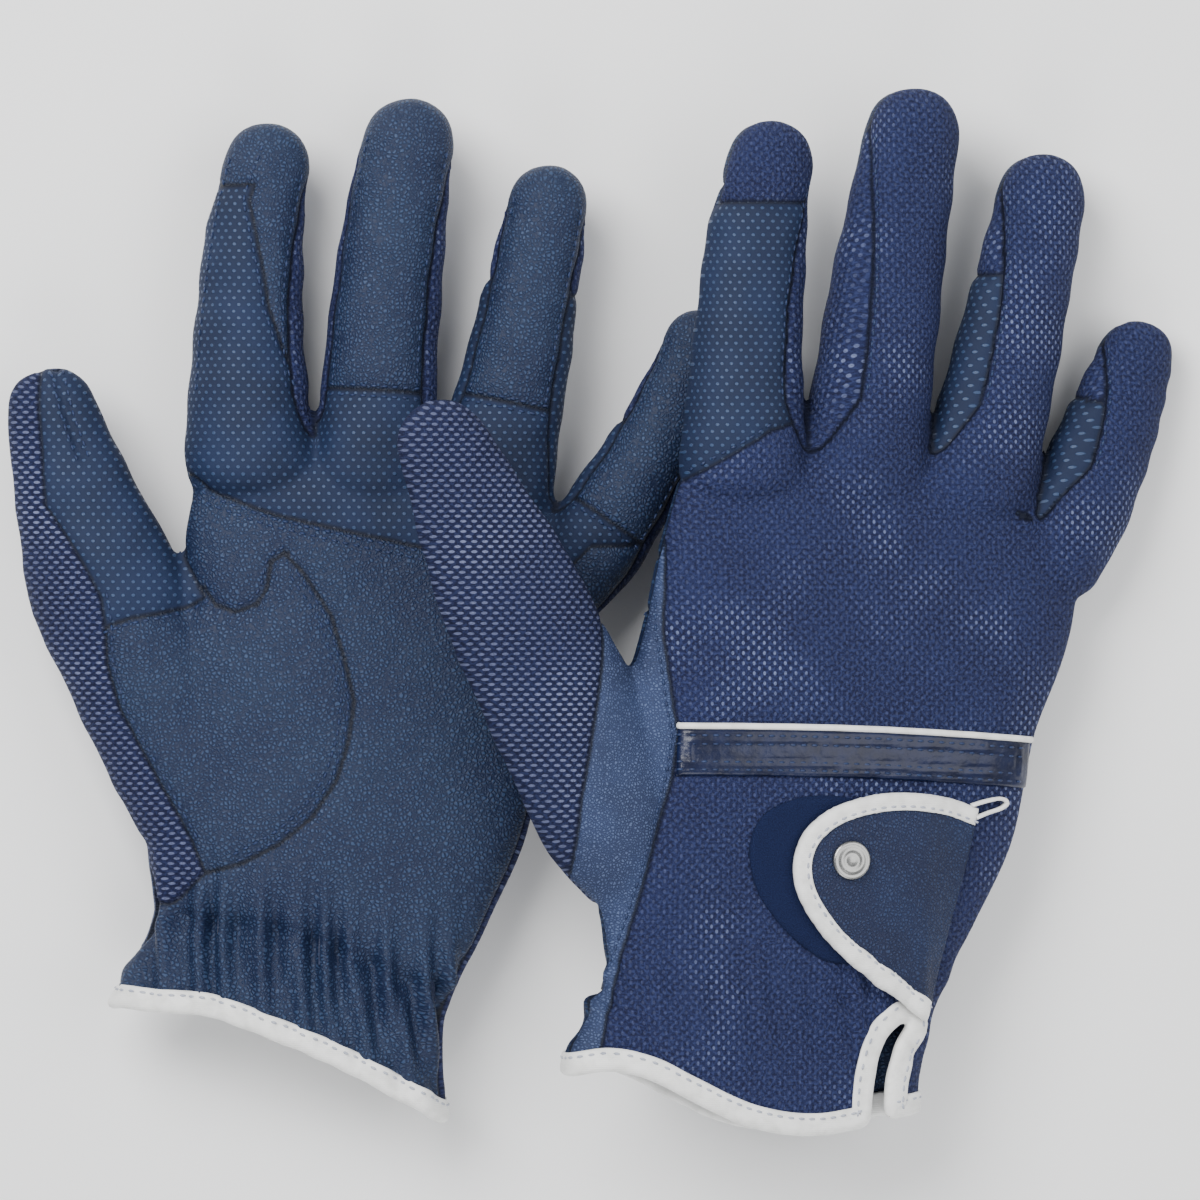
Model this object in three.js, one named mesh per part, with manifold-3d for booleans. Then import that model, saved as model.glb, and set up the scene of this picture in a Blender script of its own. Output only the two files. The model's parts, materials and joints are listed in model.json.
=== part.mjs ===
// A pair of riding gloves lying on a table, in millimetres, +Z up.
// The left glove lies palm up. The right glove lies back up, its thumb and first finger over the left one.
// Each glove is a sewn shell: knitted mesh on the back, grained leather and a dotted grip cloth on the
// palm, side gussets in the fingers, a bound cuff gathered by an elastic, and a wrist tab that closes
// over hook and loop pads.

import * as THREE from "three";
import { mergeVertices } from "three/addons/utils/BufferGeometryUtils.js";
import Module from "manifold-3d";

const wasm = await Module();
wasm.setup();

// ---- Driving sizes --------------------------------------------------------------------------------

const WALL = 1.2; // cloth and leather, with their seam allowance
const GAP = 0.35; // between two pieces that are sewn edge to edge
const HAND_SIDES = 18; // facets around the hand
const STALL_SIDES = 10; // facets around a finger
const SQUARENESS = 2.4; // of the hand's section: 2 is an ellipse, more is squarer
const FINGER_DEPTH = 0.8; // a finger's depth as a share of its width
const THUMB_DEPTH = 0.62;
const DEPTH_LIMIT = 11.5; // half the depth of the thickest stall, where the thumb meets the hand
const TIP_ROUNDING = 0.46; // length of a stall's rounded tip as a share of its width there
const GUSSET_SHARE = 0.42; // of a finger's half depth that its side gusset covers, up and down
const BACK_SEAM_HEIGHT = 3.2; // of the back panel's edge, above the glove's middle plane
const TIP_SETTLE = 2.5; // how far a fingertip sinks below the middle plane towards the table
const MIDDLE_SETTLE = 0.4; // share of that sinking at the finger's middle

const BAND = { height: 11.4, thickness: 1.3, piping: 1.4, pipingRise: 1.9, from: 0.205, to: 0.985 };
const TAB = { thickness: 1.3, bindingRise: 0.5 };
const PAD = { loop: 1.1, hook: 0.9, hookRadius: 11 };
const RIVET = { capRadius: 4.4, capHeight: 1.5, shankRadius: 1.3 };
const CUFF_BINDING = { height: 4.2, thickness: 0.9 };
const INDEX_GRIP = { seamAt: 0.62, seamSlant: 0.3, end: 0.84 };
const ELASTIC = { width: 7, thickness: 1.0, sideMargin: 9, y: -50 };
const THROUGH = 60; // reach of a cutting prism, past the glove on each side
const FAR = 160; // past the whole glove, for an outline that divides it
const HOLLOW_END = -60; // below this height the hollow takes the wrist's end wall away

// A finger or thumb stall follows a curve through root, middle and tip. width is across the stall at
// those three places, and knuckle is how far along the curve the stall starts to move on its own.
// A hand station is [y, thumb side x, little-finger side x, half depth].
const LEFT = {
  name: "left",
  back: -1, // the back of this glove faces down
  place: new THREE.Vector3(-62, -27.5, 0),
  roll: 0, // degrees about the glove's own long axis
  stalls: {
    index: { root: [-17.8, 58], middle: [-18.6, 97], tip: [-13.2, 137.6], width: [26.5, 22.8, 19], knuckle: 0.2 },
    middle: { root: [10.2, 56], middle: [13.2, 101], tip: [19.6, 143.2], width: [25.4, 23.6, 20.6], knuckle: 0.2 },
    ring: { root: [36.6, 52], middle: [45.0, 92], tip: [51.8, 127.8], width: [24.6, 21.4, 17.6], knuckle: 0.24 },
    little: { root: [50.5, 28], middle: [71.5, 57.5], tip: [89, 94], width: [23, 19.8, 16.6], knuckle: 0.3 },
    thumb: { root: [-31, -16], middle: [-51.5, 31], tip: [-66.4, 81], width: [47, 34, 19], knuckle: 0.52 },
  },
  hand: [
    [-104, -55, 27, 11],
    [-67, -52, 27, 11.5],
    [-47, -42, 36, 10.5],
    [-28, -42.5, 44.5, 11.8],
    [-4, -39.5, 50, 12.5],
    [26, -35, 58, 12],
    [52, -32, 51, 10.2],
    [61, -30.5, 46.5, 8.2],
  ],
  cuffEnds: [[-54, -67.5], [30.5, -95.5]], // the cuff's edge, from the thumb side
  tabRoot: [28.5, -46], // middle of the seam that holds the wrist tab
  gripSeam: [[-34, 58], [14, 51], [62, 30]], // lower edge of the grip cloth on the palm
};

const RIGHT = {
  name: "right",
  back: 1, // the back of this glove faces up
  place: new THREE.Vector3(57.6, -27.5, 9),
  roll: 15,
  stalls: {
    index: { root: [-25.2, 56], middle: [-23.6, 96], tip: [-17, 137.4], width: [26, 23.2, 19], knuckle: 0.2 },
    middle: { root: [2.3, 54], middle: [8.7, 99], tip: [17.4, 145.4], width: [27.4, 25.4, 21], knuckle: 0.2 },
    ring: { root: [29.2, 52], middle: [39.7, 92], tip: [48.6, 130.4], width: [25.4, 23, 19.6], knuckle: 0.22 },
    little: { root: [49, 36], middle: [61.4, 65], tip: [72.4, 91.6], width: [23.4, 21.2, 17], knuckle: 0.34 },
    thumb: { root: [-57.9, -18], middle: [-81.2, 30], tip: [-100.7, 71.8], width: [47, 31, 19], knuckle: 0.56 },
  },
  hand: [
    [-98, -69.3, 15, 11],
    [-76, -67.2, 17.1, 11.5],
    [-56, -58.9, 24.3, 10.5],
    [-30, -62, 37.2, 11.8],
    [-4, -55.8, 43.4, 12.5],
    [26, -48.6, 53.3, 12],
    [50, -43.4, 49.6, 10.2],
    [60, -39.8, 42.9, 8.2],
  ],
  cuffEnds: [[-68, -78], [18.6, -90]],
  tabRoot: [22, -45.7],
  gripSeam: [[-44, 56], [4, 50], [56, 32]],
};

// Places on the back, as distances from the hand's thumb side edge in shares of its width at that
// height, so that they follow the hand. u is the share, y the height in the glove's own frame.
const BACK = {
  bandHeights: [0, -5], // the band's upper edge at the thumb side and the little-finger side
  stripEdges: [[60, 0.1], [22, 0.16], [-12, 0.2], [-44, 0.2], [-62, 0.1]], // back panel's thumb-side seam
  stripOuter: [[60, -0.02], [34, 0.0], [8, 0.02], [-20, 0.06], [-52, 0.0]], // its seam with the thumb
};

// The vent in the cuff, under the tab and open at the cuff's edge, from the middle of the tab's root.
const VENT_EDGE = [[-15.5, -80], [-14.5, -30], [-13, -22], [-13.5, -13], [-17.5, -13], [-22, -22], [-23.5, -30],
  [-24.5, -80]];

// The wrist tab and its pads, from the middle of the tab's sewn root. Both edges of the binding run
// from the root's upper end around the nose to the root's lower end.
const TAB_EDGE = [[5.5, 25.5], [-15.8, 29.8], [-32.8, 25.2], [-40.2, 14.1], [-37.6, 3.5], [-27.5, -8.2],
  [-12.8, -18.8], [-7, -23.4]];
const TAB_FIELD = [[5.5, 20.3], [-15.8, 25.3], [-30.5, 20.8], [-35.5, 13.7], [-33.4, 5], [-24.5, -4.2],
  [-5.2, -18.3]];
const RIVET_PLACE = [-26.8, 14.2];
const HOOK_PLACE = [-20.5, 11];
const PAD_EDGE = [[-20, 27], [-36, 28.6], [-46, 25.5], [-49.8, 14], [-47, 4], [-38, -3], [-30, -9],
  [-20, -9], [-12, 2], [-10, 16]];

// ---- Materials ------------------------------------------------------------------------------------

function material(colour, roughness, metalness = 0) {
  return new THREE.MeshStandardMaterial({ color: colour, roughness, metalness });
}

const MATERIALS = {
  mesh: material(0x27346b, 0.85),
  leather: material(0x2b4060, 0.55),
  grip: material(0x263f66, 0.7),
  patent: material(0x141c3a, 0.2),
  piping: material(0xf2f2f0, 0.5),
  elastic: material(0x1c2748, 0.9),
  pad: material(0x1d2a55, 0.95),
  metal: material(0xc9c9c9, 0.3, 1),
};

// ---- Solids from three.js geometries --------------------------------------------------------------

function solid(geometry) {
  const bare = new THREE.BufferGeometry();
  bare.setAttribute("position", geometry.getAttribute("position"));
  bare.setIndex(geometry.index);
  const merged = mergeVertices(bare, 1e-4);
  return new wasm.Manifold(new wasm.Mesh({
    numProp: 3,
    vertProperties: merged.attributes.position.array,
    triVerts: new Uint32Array(merged.index.array),
  }));
}

function mesh(name, shape, kind) {
  const made = shape.getMesh();
  const geometry = new THREE.BufferGeometry();
  geometry.setAttribute("position", new THREE.BufferAttribute(made.vertProperties, 3));
  geometry.setIndex(new THREE.BufferAttribute(made.triVerts, 1));
  geometry.computeVertexNormals();
  const piece = new THREE.Mesh(geometry, MATERIALS[kind]);
  piece.name = name;
  return piece;
}

// Moves every vertex of a geometry that was made around the Y axis.
function reshape(geometry, move) {
  const position = geometry.getAttribute("position");
  const vertex = new THREE.Vector3();
  for (let i = 0; i < position.count; i++) {
    vertex.fromBufferAttribute(position, i);
    position.setXYZ(i, ...move(vertex).toArray());
  }
  return geometry;
}

// A prism straight up and down through the whole glove, over an outline seen from above.
function prism(points, low = -THROUGH, high = THROUGH) {
  const outline = new THREE.Shape(points.map(([x, y]) => new THREE.Vector2(x, y)));
  const made = new THREE.ExtrudeGeometry(outline, { depth: high - low, bevelEnabled: false });
  return solid(made.translate(0, 0, low));
}

// The part of a solid on the side that the normal points to, from a point on the plane.
function keep(shape, normal, point, gap = 0) {
  return shape.trimByPlane(normal.toArray(), normal.dot(point) + gap);
}

// ---- A stall: one finger or the thumb -------------------------------------------------------------

class Stall {
  constructor(glove, name) {
    const size = glove.stalls[name];
    this.name = name;
    this.width = size.width;
    this.knuckle = size.knuckle;
    const settle = name === "thumb" ? 0 : TIP_SETTLE;
    const root = new THREE.Vector3(...size.root, 0);
    const tip = new THREE.Vector3(...size.tip, -settle);
    const middle = new THREE.Vector3(...size.middle, -settle * MIDDLE_SETTLE);
    const inwards = new THREE.Vector3().subVectors(middle, tip).setLength(this.tipLength(0));
    const end = tip.clone().add(inwards);
    const pull = middle.clone().multiplyScalar(2).addScaledVector(root, -0.5).addScaledVector(end, -0.5);
    this.curve = new THREE.QuadraticBezierCurve3(root, pull, end);
  }

  tipLength(shrink) {
    return this.width[2] * TIP_ROUNDING - shrink;
  }

  halfWidth(t) {
    const [root, middle, tip] = this.width;
    const whole = t < 0.5 ? root + (middle - root) * t * 2 : middle + (tip - middle) * (t * 2 - 1);
    return whole / 2;
  }

  frame(t) {
    const at = THREE.MathUtils.clamp(t, 0, 1);
    const along = this.curve.getTangent(at);
    const across = new THREE.Vector3(along.y, -along.x, 0).normalize();
    const up = new THREE.Vector3().crossVectors(across, along).normalize();
    return { point: this.curve.getPoint(at), along, across, up };
  }

  // The stall's rounded form, smaller by shrink all round.
  form(shrink) {
    const straight = 2;
    const capsule = new THREE.CapsuleGeometry(1, straight, 2, STALL_SIDES, 4);
    return solid(reshape(capsule, (v) => {
      const t = (v.y + straight / 2) / straight;
      const { point, along, across, up } = this.frame(t);
      const half = this.halfWidth(THREE.MathUtils.clamp(t, 0, 1));
      const past = (t > 1 ? (t - 1) * this.tipLength(shrink) : Math.min(t, 0) * half) * straight;
      return point
        .addScaledVector(along, past)
        .addScaledVector(across, v.x * (half - shrink))
        .addScaledVector(up, v.z * (this.halfDepth(half) - shrink));
    }));
  }

  // The part past the knuckle, which moves on its own.
  beyondKnuckle(shape, gap) {
    const { point, along } = this.frame(this.knuckle);
    return keep(shape, along, point, gap);
  }

  shell() {
    return this.beyondKnuckle(this.form(0), GAP / 2).subtract(this.form(WALL));
  }

  halfDepth(half) {
    const share = this.name === "thumb" ? THUMB_DEPTH : FINGER_DEPTH;
    return Math.min(half * share, DEPTH_LIMIT);
  }

  depthAtKnuckle() {
    return this.halfDepth(this.halfWidth(this.knuckle));
  }
}

// ---- The hand: the palm and cuff of one glove -----------------------------------------------------

// The hand's form, larger by grow all round. Its cuff end runs past the cuff, and a hollow further still.
function handForm(glove, grow) {
  const stations = glove.hand;
  const rows = stations.length - 1;
  const cylinder = new THREE.CylinderGeometry(1, 1, rows, HAND_SIDES, rows);
  return solid(reshape(cylinder, (v) => {
    const row = Math.round(v.y + rows / 2);
    const [y, left, right, halfDepth] = stations[row];
    const angle = Math.atan2(v.z, v.x);
    const reach = Math.min(1, Math.hypot(v.x, v.z));
    const power = 2 / SQUARENESS;
    const x = Math.sign(v.x) * Math.abs(Math.cos(angle)) ** power * reach;
    const z = Math.sign(v.z) * Math.abs(Math.sin(angle)) ** power * reach;
    const end = row === rows ? grow : 0;
    return new THREE.Vector3(
      (left + right) / 2 + x * ((right - left) / 2 + grow),
      y + end,
      z * (halfDepth + grow),
    );
  }));
}

// A station's value at any height, along straight lines between the stations.
function handEdges(glove, y) {
  const stations = glove.hand;
  const next = THREE.MathUtils.clamp(stations.findIndex(([height]) => height > y), 1, stations.length - 1);
  const [low, high] = [stations[next - 1], stations[next]];
  const share = (y - low[0]) / (high[0] - low[0]);
  return low.map((value, i) => value + (high[i] - value) * share);
}

// The point in the glove's plane at a share u of the hand's width and at height y.
function onBack(glove, u, y) {
  const [, left, right] = handEdges(glove, y);
  return [left + (right - left) * u, y];
}

// A layer of cloth that lies on the hand between two heights above its surface.
function layer(glove, low, high, outline) {
  const sheet = handForm(glove, high).subtract(handForm(glove, low));
  const side = glove.back > 0 ? prism(outline, 0, THROUGH) : prism(outline, -THROUGH, 0);
  return sheet.intersect(side);
}

// An outline moved outwards by a distance, for a binding or a margin.
function offsetOutline(points, distance) {
  const count = points.length;
  return points.map(([x, y], i) => {
    const [ax, ay] = points[(i + count - 1) % count];
    const [bx, by] = points[(i + 1) % count];
    const length = Math.hypot(bx - ax, by - ay);
    return [x + ((by - ay) / length) * distance, y - ((bx - ax) / length) * distance];
  });
}

function splinePoints(points, count) {
  const curve = new THREE.SplineCurve(points.map(([x, y]) => new THREE.Vector2(x, y)));
  return curve.getPoints(count).map((p) => [p.x, p.y]);
}

// The cuff is cut along a slanting line: this keeps what is on the fingers' side, moved in by margin.
function cuffCut(glove, shape, margin = 0) {
  const [[ax, ay], [bx, by]] = glove.cuffEnds;
  const normal = new THREE.Vector3(-(by - ay), bx - ax, 0).normalize();
  return keep(shape, normal, new THREE.Vector3(ax, ay, 0), margin);
}

function beyondCuff(glove, shape, margin) {
  const [[ax, ay], [bx, by]] = glove.cuffEnds;
  const normal = new THREE.Vector3(by - ay, -(bx - ax), 0).normalize();
  return keep(shape, normal, new THREE.Vector3(ax, ay, 0), -margin);
}

// The band's outline between two distances below its upper edge.
function bandOutline(glove, from, to) {
  const [thumbSide, littleSide] = BACK.bandHeights;
  const edge = (drop) => [BAND.from, BAND.to].map((u) => {
    const y = thumbSide + (littleSide - thumbSide) * u - drop;
    return onBack(glove, u, y);
  });
  const [upper, lower] = [edge(from), edge(to)];
  return [lower[0], lower[1], upper[1], upper[0]];
}

function fromTabRoot(glove, points) {
  return points.map(([x, y]) => [x + glove.tabRoot[0], y + glove.tabRoot[1]]);
}

// The vent's space on the back of the glove, wider by grow.
function ventRoom(glove, grow) {
  const outline = offsetOutline(fromTabRoot(glove, VENT_EDGE), grow);
  const low = glove.back > 0 ? 0 : -THROUGH;
  return prism(outline, low, low + THROUGH);
}

// How far a point in the glove's plane lies below the hand's back, times the back's direction.
function backHeight(glove, x, y, above) {
  const [, left, right, halfDepth] = handEdges(glove, y);
  const across = Math.abs(x - (left + right) / 2) / ((right - left) / 2 + above);
  const depth = (1 - Math.min(1, across) ** SQUARENESS) ** (1 / SQUARENESS);
  return glove.back * depth * (halfDepth + above);
}

// ---- One glove ------------------------------------------------------------------------------------

function buildGlove(glove) {
  const group = new THREE.Group();
  const add = (name, shape, kind) => group.add(mesh(`${glove.name}_${name}`, shape, kind));
  const stalls = Object.keys(glove.stalls).map((name) => new Stall(glove, name));
  const thumb = stalls.find((s) => s.name === "thumb");
  const back = new THREE.Vector3(0, 0, glove.back);
  const palm = back.clone().negate();

  // The whole hollow shell up to the knuckles.
  let outer = handForm(glove, 0);
  let hollow = handForm(glove, -WALL);
  for (const stall of stalls) {
    outer = outer.add(stall.form(0));
    hollow = hollow.add(stall.form(WALL));
  }
  const openEnd = keep(handForm(glove, -WALL), new THREE.Vector3(0, -1, 0), new THREE.Vector3(0, HOLLOW_END, 0));
  let hand = outer.subtract(hollow).subtract(openEnd);
  for (const stall of stalls) {
    hand = hand.subtract(stall.beyondKnuckle(stall.form(-2), -GAP / 2));
  }
  hand = cuffCut(glove, hand, CUFF_BINDING.height / 2).subtract(ventRoom(glove, CUFF_BINDING.height / 2));

  // Fingers: back, palm and the gusset between them.
  for (const stall of stalls) {
    const shell = stall.shell();
    const { point, up } = stall.frame(stall.knuckle);
    const backUp = up.clone().multiplyScalar(glove.back);
    const palmUp = backUp.clone().negate();
    const rise = stall.depthAtKnuckle() * GUSSET_SHARE;
    if (stall.name === "index") {
      addIndex(glove, add, stall, shell, rise);
      continue;
    }
    if (stall === thumb) {
      add("thumb_back", keep(shell, backUp, point, GAP / 2), "mesh");
      add("thumb_grip", keep(shell, palmUp, point, GAP / 2), "grip");
      continue;
    }
    add(`${stall.name}_back`, keep(shell, backUp, point, rise + GAP / 2), "mesh");
    add(`${stall.name}_palm`, keep(shell, palmUp, point, rise + GAP / 2), "leather");
    const upperCut = keep(shell, palmUp, point, -rise + GAP / 2);
    add(`${stall.name}_gusset`, keep(upperCut, backUp, point, -rise + GAP / 2), "mesh");
  }

  // The thumb's base on the hand, bounded by an oval seam on the palm.
  const { point: knuckle } = thumb.frame(thumb.knuckle);
  const [rootX, rootY] = glove.stalls.thumb.root;
  const [, thumbEdge] = handEdges(glove, rootY);
  const oval = splinePoints([
    [knuckle.x - 60, knuckle.y - 8],
    [knuckle.x + 26, knuckle.y - 4],
    [thumbEdge + 46, 8],
    [thumbEdge + 40, rootY - 14],
    [thumbEdge + 14, rootY - 26],
    [rootX - 70, rootY - 20],
  ], 13);
  const seam = new THREE.Vector3(0, 0, BACK_SEAM_HEIGHT * glove.back);
  const thenar = hand.intersect(prism(oval));
  add("thenar_palm", largest(keep(thenar, palm, seam, GAP / 2)), "leather");
  const palmSide = keep(hand, palm, seam, GAP / 2).subtract(prism(offsetOutline(oval, -GAP)));

  // The palm, with the grip cloth across the finger bases.
  const seamLine = splinePoints(glove.gripSeam, 5);
  const [far, near] = [seamLine[seamLine.length - 1], seamLine[0]];
  const above = [[near[0] - 60, near[1] + 8], ...seamLine, [far[0] + 60, far[1] - 20],
    [far[0] + 60, FAR], [near[0] - 60, FAR]];
  const gripZone = prism(above);
  const gripClear = prism(offsetOutline(above, GAP));
  add("grip_panel", palmSide.intersect(gripZone), "grip");
  add("palm_panel", largest(palmSide.subtract(gripClear)), "leather");

  // The back: the thumb's base, the leather strip beside it and the mesh panel.
  const backSide = keep(hand, back, seam, GAP / 2);
  const inner = BACK.stripEdges.map(([y, u]) => onBack(glove, u, y));
  const outerEdge = BACK.stripOuter.map(([y, u]) => onBack(glove, u, y));
  const innerLine = splinePoints(inner, 8);
  const outerLine = splinePoints(outerEdge, 8);
  const thumbZone = [[-FAR, 90], ...outerLine, [outerLine.at(-1)[0], -FAR], [-FAR, -FAR]];
  const panelZone = [...innerLine.slice().reverse(), [innerLine[0][0], FAR], [FAR, FAR], [FAR, -FAR],
    [innerLine.at(-1)[0], -FAR]];
  const thumbBack = backSide.intersect(prism(thumbZone));
  const panel = backSide.intersect(prism(panelZone));
  add("thenar_back", largest(thumbBack), "mesh");
  add("back_panel", largest(panel), "mesh");
  const besidePanel = backSide.subtract(prism(offsetOutline(panelZone, -GAP)));
  const strip = besidePanel.subtract(prism(offsetOutline(thumbZone, -GAP)));
  add("side_strip", largest(strip), "leather");
  addTrims(glove, add);
  return group;
}

// The first finger: grip cloth over its back and thumb side, leather on the inner half of its palm,
// mesh at the back of its tip and in its gusset.
function addIndex(glove, add, stall, shell, rise) {
  const { point, up } = stall.frame(stall.knuckle);
  const back = up.clone().multiplyScalar(glove.back);
  const palm = back.clone().negate();
  const seam = stall.frame(INDEX_GRIP.seamAt);
  const inwards = seam.across.clone().addScaledVector(seam.along, INDEX_GRIP.seamSlant).normalize();
  const tip = stall.frame(INDEX_GRIP.end);
  const inner = (from, gap) => keep(keep(from, inwards, seam.point, gap), palm, point, gap - rise);
  const tipBack = (from, gap) => keep(keep(from, back, point, rise + gap), tip.along, tip.point, gap);
  const half = inner(shell, GAP / 2);
  add("index_palm", keep(half, palm, point, rise + GAP / 2), "leather");
  add("index_gusset", keep(half, back, point, GAP / 2 - rise), "mesh");
  add("index_back", tipBack(shell, GAP / 2), "mesh");
  const around = stall.form(-3);
  const grip = shell.subtract(inner(around, -GAP / 2)).subtract(tipBack(around, -GAP / 2));
  add("index_grip", largest(grip), "grip");
}

function largest(shape) {
  return shape.decompose().sort((a, b) => b.volume() - a.volume())[0];
}

// The band, pads, tab, rivet, binding and elastic.
function addTrims(glove, add) {
  const lift = GAP;
  add("knuckle_band", layer(glove, lift, lift + BAND.thickness, bandOutline(glove, BAND.piping + GAP, BAND.height)),
    "patent");
  add("band_piping", layer(glove, lift, lift + BAND.pipingRise, bandOutline(glove, 0, BAND.piping)), "piping");

  const padOutline = splinePoints(fromTabRoot(glove, [...PAD_EDGE, PAD_EDGE[0]]), 14).slice(0, -1);
  add("loop_pad", layer(glove, lift, lift + PAD.loop, padOutline), "pad");

  const hookLow = lift + PAD.loop + GAP;
  const tabLow = hookLow + PAD.hook + GAP;
  const tabHigh = tabLow + TAB.thickness;
  const outline = splinePoints(fromTabRoot(glove, TAB_EDGE), 12);
  const [[rivetX, rivetY]] = fromTabRoot(glove, [RIVET_PLACE]);
  const hole = solid(new THREE.CylinderGeometry(RIVET.shankRadius + GAP, RIVET.shankRadius + GAP, THROUGH, 10)
    .rotateX(Math.PI / 2).translate(rivetX, rivetY, 0));

  const field = splinePoints(fromTabRoot(glove, TAB_FIELD), 12);
  add("wrist_tab", layer(glove, tabLow, tabHigh, field).subtract(hole), "leather");

  // The room for the field is open past the root, where there is no binding.
  const [upperEnd, lowerEnd] = [field[0], field.at(-1)];
  const room = [[upperEnd[0] + 20, upperEnd[1] + 4], ...offsetOutline(field, GAP).slice(1, -1),
    [lowerEnd[0], lowerEnd[1] - GAP], [lowerEnd[0] + 20, lowerEnd[1]]];
  const ring = layer(glove, hookLow, tabHigh + TAB.bindingRise, outline).subtract(prism(room));
  add("tab_binding", largest(ring), "piping");
  const [[hookX, hookY]] = fromTabRoot(glove, [HOOK_PLACE]);
  const hookDisc = new THREE.EllipseCurve(hookX, hookY, PAD.hookRadius, PAD.hookRadius).getPoints(14);
  const hookOutline = hookDisc.slice(0, -1).map((p) => [p.x, p.y]);
  add("hook_pad", layer(glove, hookLow, hookLow + PAD.hook, hookOutline).subtract(hole), "pad");
  addRivet(glove, add, rivetX, rivetY, { hookLow, tabHigh });
  addCuff(glove, add);
}

// A cap on the tab, a shank through it and a foot under the hook pad.
function addRivet(glove, add, x, y, { hookLow, tabHigh }) {
  const top = backHeight(glove, x, y, tabHigh) + glove.back * (GAP * 1.5);
  const foot = backHeight(glove, x, y, hookLow) - glove.back * GAP * 0.2;
  const disc = (radius, from, to) => {
    const made = new THREE.CylinderGeometry(radius, radius, Math.abs(to - from), 16);
    return solid(made.rotateX(Math.PI / 2).translate(x, y, (from + to) / 2));
  };
  const cap = disc(RIVET.capRadius, top, top + glove.back * RIVET.capHeight);
  const shank = disc(RIVET.shankRadius, foot, top + glove.back * RIVET.capHeight / 2);
  add("snap_rivet", cap.add(shank), "metal");
}

// The bound edge, and the elastic inside the wrist on the palm side.
function addCuff(glove, add) {
  const sleeve = handForm(glove, CUFF_BINDING.thickness).subtract(handForm(glove, -WALL - CUFF_BINDING.thickness));
  const edge = beyondCuff(glove, cuffCut(glove, sleeve), CUFF_BINDING.height);
  const tape = cuffCut(glove, sleeve, GAP).intersect(ventRoom(glove, CUFF_BINDING.height));
  const whole = edge.add(tape).subtract(ventRoom(glove, 0));
  const allowance = handForm(glove, GAP).subtract(handForm(glove, -WALL - GAP));
  const inside = cuffCut(glove, allowance, CUFF_BINDING.height / 2 - GAP);
  add("cuff_binding", whole.subtract(inside.subtract(ventRoom(glove, CUFF_BINDING.height / 2 - GAP))), "piping");

  const [, left, right] = handEdges(glove, ELASTIC.y);
  const lining = handForm(glove, -WALL - GAP).subtract(handForm(glove, -WALL - GAP - ELASTIC.thickness));
  const [low, high] = [ELASTIC.y - ELASTIC.width / 2, ELASTIC.y + ELASTIC.width / 2];
  const box = [[left + ELASTIC.sideMargin, low], [right - ELASTIC.sideMargin, low],
    [right - ELASTIC.sideMargin, high], [left + ELASTIC.sideMargin, high]];
  const side = glove.back > 0 ? prism(box, -THROUGH, 0) : prism(box, 0, THROUGH);
  add("wrist_elastic", lining.intersect(side), "elastic");
}

// ---- The pair -------------------------------------------------------------------------------------

const pair = new THREE.Group();
for (const glove of [LEFT, RIGHT]) {
  const made = buildGlove(glove);
  made.position.copy(glove.place);
  made.rotation.y = THREE.MathUtils.degToRad(glove.roll);
  pair.add(made);
}

// The origin is the middle of the pair's footprint, on the table.
pair.updateMatrixWorld(true);
const box = new THREE.Box3().setFromObject(pair, true);
const middle = box.getCenter(new THREE.Vector3());
for (const made of pair.children) made.position.sub(new THREE.Vector3(middle.x, middle.y, box.min.z));

export default pair;
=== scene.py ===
"""A pair of riding gloves, sewn from mesh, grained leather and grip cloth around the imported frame."""

import json
import math

import bmesh
import bpy
import numpy as np
from mathutils import Matrix, Vector
from mathutils.bvhtree import BVHTree
from mathutils.kdtree import KDTree


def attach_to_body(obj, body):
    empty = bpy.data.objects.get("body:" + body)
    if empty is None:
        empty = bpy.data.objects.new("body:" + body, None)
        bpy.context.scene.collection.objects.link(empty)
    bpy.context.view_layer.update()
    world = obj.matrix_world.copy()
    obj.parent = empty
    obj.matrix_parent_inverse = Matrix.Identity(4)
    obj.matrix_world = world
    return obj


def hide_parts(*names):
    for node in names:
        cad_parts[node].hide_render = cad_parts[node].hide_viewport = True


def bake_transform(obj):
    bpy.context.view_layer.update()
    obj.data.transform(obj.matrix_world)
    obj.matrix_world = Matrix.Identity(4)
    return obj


bl_info = {
    "name": "Riding gloves",
    "version": (1, 0, 0),
    "blender": (4, 5, 0),
    "location": "3D View > Sidebar > Gloves",
    "description": "Sews a pair of riding gloves around the packed frame",
    "category": "Mesh",
}

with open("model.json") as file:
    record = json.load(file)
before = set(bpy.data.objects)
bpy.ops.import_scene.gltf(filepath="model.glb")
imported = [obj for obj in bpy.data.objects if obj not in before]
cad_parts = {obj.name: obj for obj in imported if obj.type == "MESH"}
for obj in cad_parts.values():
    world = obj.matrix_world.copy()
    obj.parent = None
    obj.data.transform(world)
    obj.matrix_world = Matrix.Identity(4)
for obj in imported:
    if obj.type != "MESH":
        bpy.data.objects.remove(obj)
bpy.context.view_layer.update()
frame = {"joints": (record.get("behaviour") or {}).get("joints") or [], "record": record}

MM = 0.001
VOXEL = 1.0
SMOOTHING = 7  # rounds that soften the plain form where fingers meet the hand

# ---- The two patterns, in millimetres in each glove's own frame ------------------------------------
# A stall is a finger or the thumb: root, middle and tip of its centre line, its width at those places,
# and the share of its length where it starts to bend. palm_side and back_side give how far up its sides
# the gusset reaches, in degrees, on the thumb's side and on the other side.

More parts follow.
